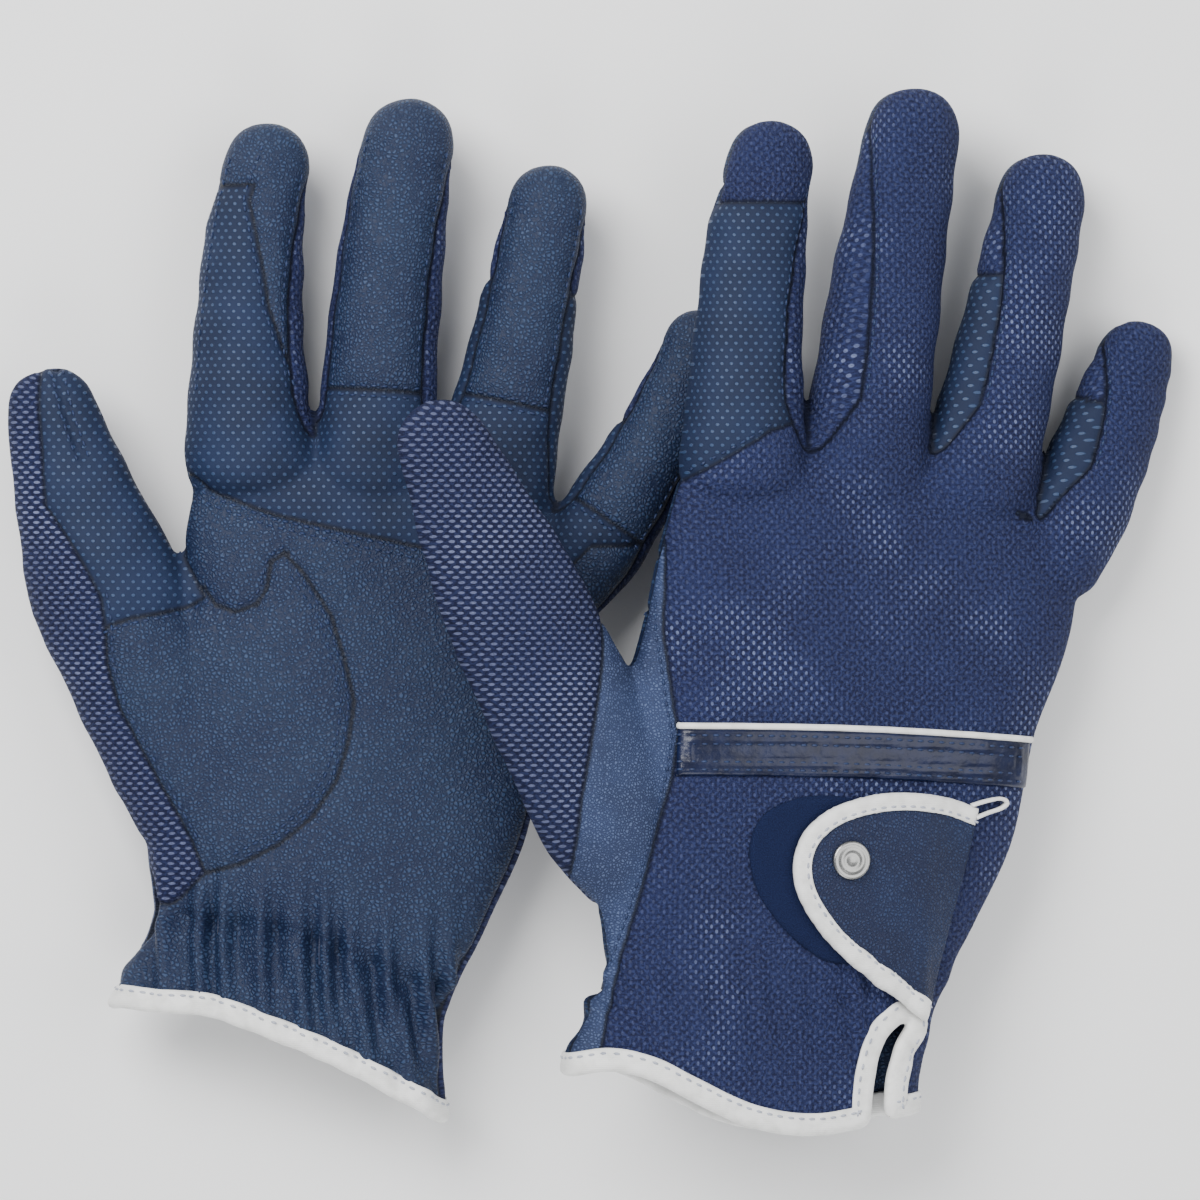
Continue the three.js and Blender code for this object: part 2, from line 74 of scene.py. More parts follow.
LEFT = {
    "name": "left",
    "back": -1,
    "stalls": {
        "index": dict(path=((-17.8, 58), (-18.6, 97), (-13.2, 137.6)), width=(26.5, 22.8, 19), knuckle=0.2,
                      palm_side=(0, 40), back_side=(0, 40)),
        "middle": dict(path=((10.2, 56), (13.2, 101), (19.6, 143.2)), width=(25.4, 23.6, 20.6), knuckle=0.2,
                       palm_side=(22, 38), back_side=(40, 40)),
        "ring": dict(path=((36.6, 52), (45.0, 92), (51.8, 127.8)), width=(24.6, 21.4, 17.6), knuckle=0.24,
                     palm_side=(30, 37), back_side=(40, 40)),
        "little": dict(path=((50.5, 28), (71.5, 57.5), (89, 94)), width=(23, 19.8, 16.6), knuckle=0.3,
                       palm_side=(30, 25), back_side=(40, -25)),
        "thumb": dict(path=((-31, -16), (-51.5, 31), (-66.4, 81)), width=(32, 35, 19), knuckle=0.52, root=22,
                      palm_side=(0, 0), back_side=(0, 0)),
    },
    "hand": ((-112, -57, 27, 11), (-98, -55.5, 27, 11), (-67, -52, 27, 11.5), (-47, -42, 36, 10.5),
             (-28, -42.5, 44.5, 11.8), (-4, -39.5, 50, 12.5), (26, -35, 58, 12), (46, -33, 53.5, 10.4),
             (55, -31.5, 50, 8.2), (61, -30.5, 46.5, 4), (63, -30, 44, 0.5)),
    "cuff": ((-58, -64), (-50, -64.8), (-38, -66), (-29, -66.5), (-15.2, -71.2), (3, -79), (20, -88.3),
             (29, -93), (36, -96)),
    "gather": ((-50, -41), (-41.4, -43.5), (-29.4, -46.2), (-12.4, -48.3), (3.7, -53.4), (18.6, -60.3),
               (26.2, -62.3), (36, -64)),
    "tab_root": (28.5, -46),
}

RIGHT = {
    "name": "right",
    "back": 1,
    "stalls": {
        "index": dict(path=((-25.2, 56), (-23.6, 96), (-17, 137.4)), width=(26, 23.2, 19), knuckle=0.2,
                      palm_side=(0, 40), back_side=(0, 58)),
        "middle": dict(path=((2.3, 54), (8.7, 99), (17.4, 145.4)), width=(27.4, 25.4, 21), knuckle=0.2,
                       palm_side=(22, 38), back_side=(68, 8)),
        "ring": dict(path=((29.2, 52), (39.7, 92), (48.6, 130.4)), width=(25.4, 23, 19.6), knuckle=0.22,
                     palm_side=(30, 37), back_side=(62, 8)),
        "little": dict(path=((49, 36), (61.4, 65), (72.4, 91.6)), width=(23.4, 21.2, 17), knuckle=0.34,
                       palm_side=(30, 25), back_side=(76, -25)),
        "thumb": dict(path=((-57.9, -18), (-81.2, 30), (-100.7, 71.8)), width=(34, 32, 19), knuckle=0.56,
                      root=30, palm_side=(0, 0), back_side=(0, 0)),
    },
    "hand": ((-108, -70, 14, 11), (-98, -69.3, 15, 11), (-76, -67.2, 17.1, 11.5), (-56, -58.9, 24.3, 10.5),
             (-30, -62, 37.2, 11.8), (-4, -55.8, 43.4, 12.5), (26, -48.6, 53.3, 12), (44, -44.5, 51.5, 10.4),
             (54, -41.5, 46.5, 8.2), (60, -39.8, 42.9, 4), (62, -38, 40, 0.5)),
    "cuff": ((-78, -76), (-68, -79.5), (-60, -78.2), (-51, -80), (-42, -84.5), (-28, -91), (-12, -93.5),
             (0, -92), (12, -89.5), (24, -89)),
    "gather": ((-80, -58), (-60, -60), (-40, -61), (-10, -62), (10, -62), (30, -62)),
    "tab_root": (22, -45.7),
}

# Seams seen on the palm of the left glove and on the back of the right one. The other glove's are the
# same ones, moved to the same shares of its hand.
PALM_SEAMS = {
    "thumb_mesh": ((-66.7, 84), (-66.9, 72), (-65.4, 49.2), (-60.2, 42), (-55.9, 35), (-52.4, 28.3),
                   (-51.4, 22), (-51.1, 12.9), (-48.1, 2.3), (-43.2, -6.7), (-37.7, -16.6), (-32, -27.1),
                   (-28.5, -35), (-36, -42), (-90, -42), (-90, 90)),
    "thumb_grip": ((-51.6, 21.4), (-45, 23.6), (-38.9, 24.6), (-33, 26), (-28.8, 28.2), (-33.5, 37),
                   (-35, 60), (-40, 110), (-110, 110), (-80, 20)),
    "oval": ((-28.5, -35), (-20, -32.9), (-11.5, -28.5), (-3.9, -22.3), (1.8, -13.8), (4.6, -4.6),
             (5.8, 4.6), (3.9, 12.9), (0.5, 24.2), (-6, 34), (-10.2, 38.4), (-13.4, 36.4), (-14.3, 30.1),
             (-16.8, 26.6), (-21.6, 24.9), (-26.2, 26.6), (-29, 30.4), (-60, 40), (-60, -20), (-41, -32)),
    "grip": ((-60, 57.8), (-32, 56.4), (-27.1, 52.4), (-12.9, 47.4), (4.6, 43.4), (18.6, 40.4),
             (32, 37.6), (44, 34), (52, 33.5), (56, 36), (60, 40), (70, 40), (120, 60), (120, 160),
             (-60, 160)),
}
BACK_SEAMS = {
    "strip_outer": ((-58, 32), (-60, 19.1), (-62.7, 5.1), (-64.7, -6.4), (-66.6, -17.9), (-67.6, -33.1),
                    (-66.5, -45.3), (-72, -60), (-150, -60), (-150, 120), (-50, 120)),
    "strip_inner": ((-40, 60), (-44.3, 53.4), (-46.2, 20.2), (-44.4, 3), (-43.4, -2.8), (-45, -12.7),
                    (-47.6, -21.9), (-52.4, -40.7), (-57.5, -59), (-62, -78), (-66, -100), (90, -100),
                    (140, 60), (90, 150), (-35, 150)),
    "index_patch": ((-52, 49), (-46.7, 51.3), (-40, 55.4), (-31.9, 60.3), (-26, 63.6), (-21.9, 66.2),
                    (-8, 70), (-8, 118.5), (-60, 118.5)),
}
FINGERS = ("index", "middle", "ring", "little")
PALM_TIP_LEATHER = 123  # the first finger's palm is all leather above this height
BACK_TIP_MESH = 118.5  # and its back mesh above this one
THUMB_DART = ((-63.3, 82), (-61.6, 76), (-60.5, 71), (-58.4, 65), (-56.8, 60.7))
SPLIT_GUSSETS = ("ring", "little")  # grip cloth near the hand, mesh near the tip
GUSSET_GRIP_END = 0.62  # how far along such a finger its gusset is grip cloth
DART = ((-11.5, 142), (-14.4, 131), (-18.6, 119.6), (-15.3, 104), (-13.8, 94.8), (-10.6, 85.6), (-7.2, 78),
        (-5, 70))

# Around the middle of the wrist tab's sewn root.
TAB_EDGE = ((5.5, 25.5), (-2, 28.4), (-15.8, 29.8), (-26, 28), (-32.8, 25.2), (-38, 20.5), (-40.2, 14.1),
            (-39.6, 8), (-37.6, 3.5), (-33, -3), (-27.5, -8.2), (-20, -14), (-12.8, -18.8), (-7, -23.4))
PULL_LOOP = ((4.5, 23.5), (7.5, 24.6), (11.2, 25.6), (12.6, 26.9), (11.2, 28), (7, 27.4), (3.5, 26.4))
HOOK_PLACE = (-20.5, 11)
HOOK_RADIUS = 11
RIVET_PLACE = (-26.8, 14.2)
PAD_EDGE = ((-20, 27), (-30, 29), (-38, 28.6), (-46, 25.5), (-49.4, 20), (-49.8, 14), (-48, 7), (-43, 0),
            (-37, -5.6), (-30, -10), (-20, -9), (-12, 2), (-10, 16))
VENT_EDGE = ((-15.6, -80), (-15.2, -36), (-13, -29), (-9.5, -24.5), (-9.5, -22.5), (-13, -22.2), (-17.2, -26),
             (-19.8, -32), (-20.8, -40), (-21, -80))
BAND_ENDS = ((-43.6, -0.9), (38.8, -4.1))  # the knuckle band's upper edge

TIP_SETTLE = 2.5
FULLNESS = 0.45  # how far the middle of a panel stands off the plain form
SQUARENESS = 2.4  # of the hand's section: 2 is an ellipse
CLOTH_GAP = 0.2  # between a knuckle's hinge and the cloth's outside
THUMB_DEPTH = 0.62  # as a share of its width
DEEPEST_FINGER = 11.5
STITCH_LENGTH = 1.7
STITCH_SECTION = (0.34, 0.26)  # half its width and half its height
TAPE_WIDTH = 4.0
TAPE_SEAM = 3.1  # from the tab's edge to its row of stitches
TAPE_TOP = 1.71  # of the tab's tape over the tab's underside
BINDING_SEAM = 3.0  # from the cuff's edge to its row of stitches
BINDING_HEIGHT = 0.9
PIPING_RADIUS = 0.75
TAB_LIFT = 0.3
EYE_HEIGHT = 60  # above everything on a glove, to look down on it from
NO_SEAM = 10  # the distance to a seam that stands for none near
SEAM_WIDTH = 1.0  # half the width of a seam's valley
PLEAT = 7.6  # from one pleat of the cuff to the next
PLEAT_FADE_UP = 7.0
PLEAT_FADE_DOWN = 22.0
ELASTIC_WIDTH = 4.4
SWING_SHARE = 0.2  # the rounded ends' share of a stall's grid, beyond each end
FINGER_DEPTH = 0.8  # as a share of its width


# ---- Numbers on many points at once ---------------------------------------------------------------


def smooth_through(knots, values, at):
    """Values on a smooth curve through the knots."""
    slopes = np.gradient(values, knots)
    i = np.clip(np.searchsorted(knots, at) - 1, 0, len(knots) - 2)
    span = knots[i + 1] - knots[i]
    t = np.clip((at - knots[i]) / span, 0, 1)
    h00 = 2 * t**3 - 3 * t**2 + 1
    h10 = t**3 - 2 * t**2 + t
    h01 = -2 * t**3 + 3 * t**2
    h11 = t**3 - t**2
    return h00 * values[i] + h10 * span * slopes[i] + h01 * values[i + 1] + h11 * span * slopes[i + 1]


def inside(polygon, points):
    """Signed distance from the polygon's edge in plan, positive inside."""
    corners = np.asarray(polygon, float)
    ends = np.roll(corners, -1, axis=0)
    nearest = np.full(len(points), 1e9)
    odd = np.zeros(len(points), bool)
    x, y = points[:, 0], points[:, 1]
    for (ax, ay), (bx, by) in zip(corners, ends):
        dx, dy = bx - ax, by - ay
        along = np.clip(((x - ax) * dx + (y - ay) * dy) / (dx * dx + dy * dy), 0, 1)
        nearest = np.minimum(nearest, np.hypot(x - ax - along * dx, y - ay - along * dy))
        if ay != by:
            crosses = ((ay > y) != (by > y)) & (x < dx * (y - ay) / dy + ax)
            odd ^= crosses
    return np.where(odd, nearest, -nearest)


def distance_to(line, points):
    """Distance in plan from an open line."""
    corners = np.asarray(line, float)
    nearest = np.full(len(points), 1e9)
    for (ax, ay), (bx, by) in zip(corners[:-1], corners[1:]):
        dx, dy = bx - ax, by - ay
        along = np.clip(((points[:, 0] - ax) * dx + (points[:, 1] - ay) * dy) / (dx * dx + dy * dy), 0, 1)
        gap = np.hypot(points[:, 0] - ax - along * dx, points[:, 1] - ay - along * dy)
        nearest = np.minimum(nearest, gap)
    return nearest


def height_over(line, points):
    """How far each point lies above a line that runs across the glove."""
    knots = np.asarray(line, float)
    return points[:, 1] - smooth_through(knots[:, 0], knots[:, 1], points[:, 0])


def bump(distance, width):
    return np.exp(-((distance / width) ** 2))


def ramp(low, high, values):
    t = np.clip((values - low) / (high - low), 0, 1)
    return t * t * (3 - 2 * t)


def waves(points, seeds, size):
    """A smooth irregular field between about -1 and 1, the same on every run."""
    total = np.zeros(len(points))
    rng = np.random.default_rng(seeds)
    for _ in range(7):
        direction = rng.normal(size=3)
        direction /= np.linalg.norm(direction)
        pitch = size * rng.uniform(0.7, 1.5)
        total += np.sin(points @ direction * (2 * math.pi / pitch) + rng.uniform(0, 6.28))
    return total / 3.5


class Stall:
    """One finger or the thumb of a glove."""

    def __init__(self, glove, name):
        size = glove["stalls"][name]
        self.name = name
        self.width = size["width"]
        self.knuckle = size["knuckle"]
        self.gusset = {1: size["back_side"], -1: size["palm_side"]}
        self.back = glove["back"]
        self.share = THUMB_DEPTH if name == "thumb" else FINGER_DEPTH
        settle = 0 if name == "thumb" else TIP_SETTLE
        root, middle, tip = (Vector((*place, 0)) for place in size["path"])
        tip.z = -settle
        middle.z = -0.4 * settle
        self.tip_length = self.width[2] * 0.46
        self.root_length = size.get("root", self.width[0] * 0.3)
        end = tip + (middle - tip).normalized() * self.tip_length
        pull = middle * 2 - root / 2 - end / 2
        self.knots = (np.array(root), np.array(pull), np.array(end))
        self.line = self.at(np.linspace(0, 1, 21))

    def at(self, t):
        t = np.asarray(t, float)[..., None]
        a, b, c = self.knots
        return (1 - t) ** 2 * a + 2 * t * (1 - t) * b + t * t * c

    def along(self, t):
        t = np.asarray(t, float)[..., None]
        a, b, c = self.knots
        slope = 2 * (1 - t) * (b - a) + 2 * t * (c - b)
        return slope / np.linalg.norm(slope, axis=-1, keepdims=True)

    def half(self, t):
        """Half the width of the sewn stall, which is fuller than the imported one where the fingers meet."""
        root, middle, tip = self.width
        flare = {"thumb": 1.0, "little": 0.86}.get(self.name, 1.15)
        return np.interp(t, (0, 0.18, 0.5, 1), (root * flare, root + 0.1, middle, tip)) / 2 + 0.5

    def depth(self, t):
        half = self.half(t)
        return half * np.minimum(self.share, DEEPEST_FINGER / half)

    def locate(self, points):
        """For each point: its place t along the stall, its offset across and above, and its fullness q,
        which is 1 on the stall's surface."""
        span = self.line[-1] - self.line[0]
        guess = np.clip((points - self.line[0]) @ span / (span @ span), 0, 1)
        base = self.at(guess)
        slope = self.along(guess)
        length = np.linalg.norm(np.diff(self.line, axis=0), axis=1).sum()
        guess = np.clip(guess + ((points - base) * slope).sum(axis=1) / length, 0, 1)
        base = self.at(guess)
        slope = self.along(guess)
        offset = points - base
        ahead = (offset * slope).sum(axis=1)
        t = guess + ahead / length
        across = offset[:, 0] * slope[:, 1] - offset[:, 1] * slope[:, 0]
        above = points[:, 2] - base[:, 2] - slope[:, 2] * ahead
        held = np.clip(t, 0, 1)
        past = np.maximum(t - 1, 0) * length / self.tip_length
        q = np.sqrt((across / self.half(held)) ** 2 + (above / self.depth(held)) ** 2 + past**2)
        return t, across, above, q

    def gusset_field(self, points, side):
        """Above 0 beyond the gusset's seam on the back (side 1) or the palm (side -1)."""
        t, across, above, _ = self.locate(points)
        held = np.clip(t, 0, 1)
        rise = np.arctan2(above * side * self.back / self.depth(held), np.abs(across) / self.half(held))
        reach = np.where(across < 0, self.gusset[side][0], self.gusset[side][1]) * math.pi / 180
        taper = (1 - np.clip(t, 0, 1) ** 3.5) * np.clip(0.35 + 0.65 * t / self.knuckle, 0, 1)
        return (rise - reach * taper) * self.half(held)

    def knuckle_height(self, points):
        """How far each point lies beyond the plane that the finger turns at."""
        return (points - self.at(self.knuckle)) @ self.along(self.knuckle)


def station(glove, y):
    """The hand's thumb side, its little-finger side and its half depth at height y."""
    rows = np.asarray(glove["hand"], float)
    return [smooth_through(rows[:, 0], rows[:, i], np.asarray(y, float)) for i in (1, 2, 3)]


def moved_to(glove, other, polygon):
    """The same seam on the other glove: each point keeps its height and its share of the hand's width."""
    points = np.asarray(polygon, float)
    left, right, _ = station(other, np.clip(points[:, 1], -90, 50))
    new_left, new_right, _ = station(glove, np.clip(points[:, 1], -90, 50))
    share = (points[:, 0] - left) / (right - left)
    return np.stack([new_left + share * (new_right - new_left), points[:, 1]], axis=1)


def seams_of(glove):
    if glove is LEFT:
        return PALM_SEAMS, {k: moved_to(LEFT, RIGHT, v) for k, v in BACK_SEAMS.items()}
    return {k: moved_to(RIGHT, LEFT, v) for k, v in PALM_SEAMS.items()}, BACK_SEAMS


def dart_of(glove):
    """The dart on the palm of the first finger, as a polygon that holds what is on its thumb side."""
    shift = 0 if glove is LEFT else -5
    line = [(x + shift, y) for x, y in DART]
    return [(-120, 150), (-120, 40), *reversed(line)]


def thumb_dart_of(glove):
    """The short dart that closes the thumb's tip, on the palm."""
    shift = np.subtract(glove["stalls"]["thumb"]["path"][-1], LEFT["stalls"]["thumb"]["path"][-1])
    return np.asarray(THUMB_DART) + shift


# ---- Meshes ---------------------------------------------------------------------------------------


def wrapped(around, along, place, caps=True):
    """A closed surface from a grid whose two sides are joined: place(u, v) is where u, v lands."""
    bm = bmesh.new()
    bmesh.ops.create_grid(bm, x_segments=around, y_segments=along, size=0.5)
    for vert in bm.verts:
        vert.co = place(vert.co.x + 0.5, vert.co.y + 0.5)
    bmesh.ops.remove_doubles(bm, verts=bm.verts, dist=1e-4)
    if caps:
        bmesh.ops.holes_fill(bm, edges=bm.edges, sides=0)
    bmesh.ops.recalc_face_normals(bm, faces=bm.faces)
    return bm


def joined(*forms):
    """One mesh of several forms that may overlap."""
    whole = bmesh.new()
    for form in forms:
        mesh = bpy.data.meshes.new("form")
        form.to_mesh(mesh)
        whole.from_mesh(mesh)
        bpy.data.meshes.remove(mesh)
        form.free()
    return whole


def stall_form(stall):
    """A stall's plain form: a long rounded bag around its centre line."""
    def place(u, v):
        angle = 2 * math.pi * u
        reach = v * (1 + 2 * SWING_SHARE) - SWING_SHARE
        t = min(max(reach, 0), 1)
        swing = max(reach - 1, 0, -reach) / SWING_SHARE * math.pi / 2
        past = math.sin(swing) * (stall.tip_length if reach > 1 else -stall.root_length)
        point, slope = Vector(stall.at(t)), Vector(stall.along(t))
        across = Vector((slope.y, -slope.x, 0)).normalized()
        up = across.cross(slope)
        half, depth = float(stall.half(t)) * math.cos(swing), float(stall.depth(t)) * math.cos(swing)
        return point + slope * past + across * math.cos(angle) * half + up * math.sin(angle) * depth

    return wrapped(36, 70, place)


def hand_form(glove):
    """The hand's plain form."""
    low, high = glove["hand"][0][0], glove["hand"][-1][0]

    def place(u, v):
        angle = 2 * math.pi * u
        y = low + (high - low) * v
        left, right, depth = (float(value) for value in station(glove, y))
        x, z = math.cos(angle), math.sin(angle)
        x = math.copysign(abs(x) ** (2 / SQUARENESS), x)
        z = math.copysign(abs(z) ** (2 / SQUARENESS), z)
        return Vector(((left + right) / 2 + x * (right - left) / 2, y, z * depth))

    return wrapped(72, 90, place)


def remeshed(form, voxel):
    """One even surface around everything in the form."""
    mesh = bpy.data.meshes.new("form")
    form.to_mesh(mesh)
    form.free()
    holder = bpy.data.objects.new("form", mesh)
    bpy.context.collection.objects.link(holder)
    modifier = holder.modifiers.new("remesh", "REMESH")
    modifier.mode = "VOXEL"
    modifier.voxel_size = voxel
    bm = bmesh.new()
    bm.from_object(holder, bpy.context.evaluated_depsgraph_get())
    bpy.data.objects.remove(holder)
    bpy.data.meshes.remove(mesh)
    return bm


def places(elements):
    return np.array([element.co for element in elements], float).reshape(-1, 3)


def slit(bm, field, near=None, close=0.12):
    """Cuts the surface along the line where the field is 0."""
    points = places(bm.verts)
    values = field(points)
    allowed = np.ones(len(points), bool) if near is None else near(points)
    on_line = np.abs(values) < close
    above = values > 0
    bm.verts.index_update()
    ends = {vert for vert, flag in zip(bm.verts, on_line & allowed) if flag}
    touched = {face for vert in ends for face in vert.link_faces}
    crossing = []
    for edge in bm.edges:
        a, b = edge.verts[0].index, edge.verts[1].index
        if above[a] != above[b] and allowed[a] and allowed[b] and not on_line[a] and not on_line[b]:
            crossing.append((edge, values[a] / (values[a] - values[b])))
    for edge, share in crossing:
        touched.update(edge.link_faces)
        _, vert = bmesh.utils.edge_split(edge, edge.verts[0], share)
        ends.add(vert)
    for face in sorted(touched, key=lambda face: face.index):
        cut = [vert for vert in face.verts if vert in ends]
        if len(cut) != 2:
            continue
        sides = [edge for edge in cut[0].link_edges if edge in face.edges[:]]
        if not any(cut[1] in edge.verts for edge in sides):
            bmesh.utils.face_split(face, cut[0], cut[1])


def drop(bm, gone):
    """Deletes the faces whose flag is set."""
    faces = [face for face, out in zip(bm.faces, gone) if out]
    bmesh.ops.delete(bm, geom=faces, context="FACES")


def centres(bm):
    return np.array([face.calc_center_median() for face in bm.faces], float).reshape(-1, 3)


# ---- The skin -------------------------------------------------------------------------------------


class Reading:
    """What each point of a glove's skin belongs to."""

    def __init__(self, glove, stalls, points):
        count = len(points)
        self.side = points[:, 2] * glove["back"]
        self.owner = np.full(count, -1)
        self.t = np.zeros(count)
        self.arc = np.zeros(count)
        left, right, _ = station(glove, np.clip(points[:, 1], -100, 50))
        share = np.clip((points[:, 0] - left) / (right - left), 0, 1)
        hand_seam = -2.5 * ramp(0.4, 0.7, share)
        self.back = self.side - hand_seam
        self.palm = -self.back.copy()
        fullness = np.full(count, 1.6)
        for i, stall in enumerate(stalls.values()):
            t, across, _, q = stall.locate(points)
            mine = (t > -0.03) & (q < fullness)
            fullness = np.where(mine, q, fullness)
            self.owner[mine] = i
            self.t[mine] = t[mine]
            half = stall.half(np.clip(t, 0, 1))
            wrap = half * np.arcsin(np.clip(across / half, -0.98, 0.98)) - across
            if stall.name == "thumb":
                self.back[mine] = self.side[mine]
                self.palm[mine] = -self.side[mine]
                continue
            self.arc[mine] = (wrap * ramp(-0.03, 0.2, t))[mine]
            weight = ramp(-0.03, 0.1, t)
            for seam, sign in ((self.back, 1), (self.palm, -1)):
                own = stall.gusset_field(points, sign)
                base = (self.side - hand_seam) * sign
                seam[mine] = (base * (1 - weight) + own * weight)[mine]
        self.names = list(stalls)

    def of(self, name):
        return self.owner == self.names.index(name)


def skin_of(glove, stalls):
    """The glove's whole outer surface, cut along every seam, and the piece each face belongs to."""
    forms = [hand_form(glove)] + [stall_form(stall) for stall in stalls.values()]
    bm = remeshed(joined(*forms), VOXEL)
    for _ in range(SMOOTHING):
        bmesh.ops.smooth_vert(bm, verts=bm.verts, factor=0.5,
                              use_axis_x=True, use_axis_y=True, use_axis_z=True)
    whole = BVHTree.FromBMesh(bm)

    root = np.array(glove["tab_root"])
    vent = np.array(VENT_EDGE) + root
    back = glove["back"]
    slit(bm, lambda p: height_over(glove["cuff"], p))
    drop(bm, height_over(glove["cuff"], centres(bm)) < 0)
    slit(bm, lambda p: inside(vent, p), lambda p: (p[:, 2] * back > 0) & (p[:, 1] < 0))
    middle = centres(bm)
    drop(bm, (inside(vent, middle) > 0) & (middle[:, 2] * back > 0))

    def read(points):
        return Reading(glove, stalls, points)

    slit(bm, lambda p: read(p).back)
    slit(bm, lambda p: read(p).palm)
    for stall in stalls.values():
        slit(bm, stall.knuckle_height,
             lambda p: (np.abs(stall.knuckle_height(p)) < 5) & read(p).of(stall.name))
    palm_seams, back_seams = seams_of(glove)

    def on_palm(p):
        return p[:, 2] * back < 3

    def on_back(p):
        return p[:, 2] * back > -3

    def near_thumb(p):
        reading = read(p)
        return on_palm(p) & (reading.of("thumb") | (p[:, 1] < 45) & ~reading.of("index"))

    for finger in SPLIT_GUSSETS:
        stall = stalls[finger]
        slit(bm, lambda p: stall.locate(p)[0] - GUSSET_GRIP_END,
             lambda p: (read(p).back < 0.3) & (read(p).palm < 0.3) & read(p).of(finger))

    slit(bm, lambda p: inside(palm_seams["thumb_mesh"], p), near_thumb)
    slit(bm, lambda p: inside(palm_seams["thumb_grip"], p), near_thumb)
    slit(bm, lambda p: inside(palm_seams["oval"], p), near_thumb)
    slit(bm, lambda p: inside(palm_seams["grip"], p), on_palm)
    slit(bm, lambda p: inside(dart_of(glove), p), lambda p: on_palm(p) & (p[:, 1] > 66) & read(p).of("index"))
    slit(bm, lambda p: p[:, 1] - PALM_TIP_LEATHER, lambda p: on_palm(p) & read(p).of("index"))
    slit(bm, lambda p: inside(back_seams["strip_outer"], p), on_back)
    slit(bm, lambda p: inside(back_seams["strip_inner"], p), lambda p: on_back(p) & (p[:, 1] < 54))
    slit(bm, lambda p: inside(back_seams["index_patch"], p),
         lambda p: (p[:, 2] * back > -7) & (p[:, 1] < 112) & (read(p).of("index") | (p[:, 1] < 60)))
    slit(bm, lambda p: p[:, 1] - BACK_TIP_MESH, lambda p: on_back(p) & read(p).of("index"))
    return bm, whole


def pieces_of(glove, stalls, points):
    """The name of the piece that each point lies on."""
    reading = Reading(glove, stalls, points)
    palm_seams, back_seams = seams_of(glove)
    x, y = points[:, 0], points[:, 1]
    on_back, on_palm = reading.back > 0, reading.palm > 0
    beyond = {name: reading.of(name) & (stall.knuckle_height(points) > 0) for name, stall in stalls.items()}
    index = reading.of("index")
    names = np.full(len(points), "back_panel", dtype="U20")

    names[on_back] = "back_panel"
    for finger in FINGERS:
        names[on_back & beyond[finger]] = finger + "_back"
    strip = on_back & ~(inside(back_seams["strip_inner"], points) > 0) & ~index & (y < 60)
    names[strip] = "side_strip"
    in_patch = (inside(back_seams["index_patch"], points) > 0) & (y > 45)
    names[on_back & in_patch & (index | (x < -20))] = "index_grip"
    outer = on_back & (reading.of("thumb") | (inside(back_seams["strip_outer"], points) > 0)) & ~index
    outer &= inside(back_seams["strip_outer"], points) > 0
    names[outer] = "thenar_back"
    names[on_back & beyond["thumb"]] = "thumb_back"

    names[on_palm] = "palm_panel"
    in_oval = on_palm & (inside(palm_seams["oval"], points) > 0) & ~index
    names[on_palm & (inside(palm_seams["grip"], points) > 0) & ~reading.of("thumb")] = "grip_panel"
    names[in_oval] = "thenar_palm"
    thumb_area = on_palm & (reading.of("thumb") | (y < 40)) & ~index
    names[thumb_area & (inside(palm_seams["thumb_grip"], points) > 0)] = "thumb_grip"
    mesh_side = thumb_area & (inside(palm_seams["thumb_mesh"], points) > 0)
    names[mesh_side] = "thenar_back"
    names[mesh_side & beyond["thumb"]] = "thumb_back"
    for finger in ("middle", "ring", "little"):
        names[on_palm & beyond[finger]] = finger + "_palm"
    leather = (inside(dart_of(glove), points) < 0) | (y > PALM_TIP_LEATHER)
    names[on_palm & beyond["index"]] = "index_grip"
    names[on_palm & beyond["index"] & leather] = "index_palm"

    for finger in FINGERS:
        between = ~on_back & ~on_palm & reading.of(finger)
        names[between] = finger + "_gusset"
        if finger in SPLIT_GUSSETS:
            names[between & (reading.t > GUSSET_GRIP_END)] = finger + "_gusset_tip"
    return names, reading


def cloth_of(name):
    """Pieces that are one continuous cloth share this name."""
    if name in ("thenar_back", "thumb_back"):
        return "thumb mesh"
    if name == "back_panel" or name.endswith("_back"):
        return "back mesh"
    if name in ("grip_panel", "index_grip"):
        return "grip cloth"
    return name


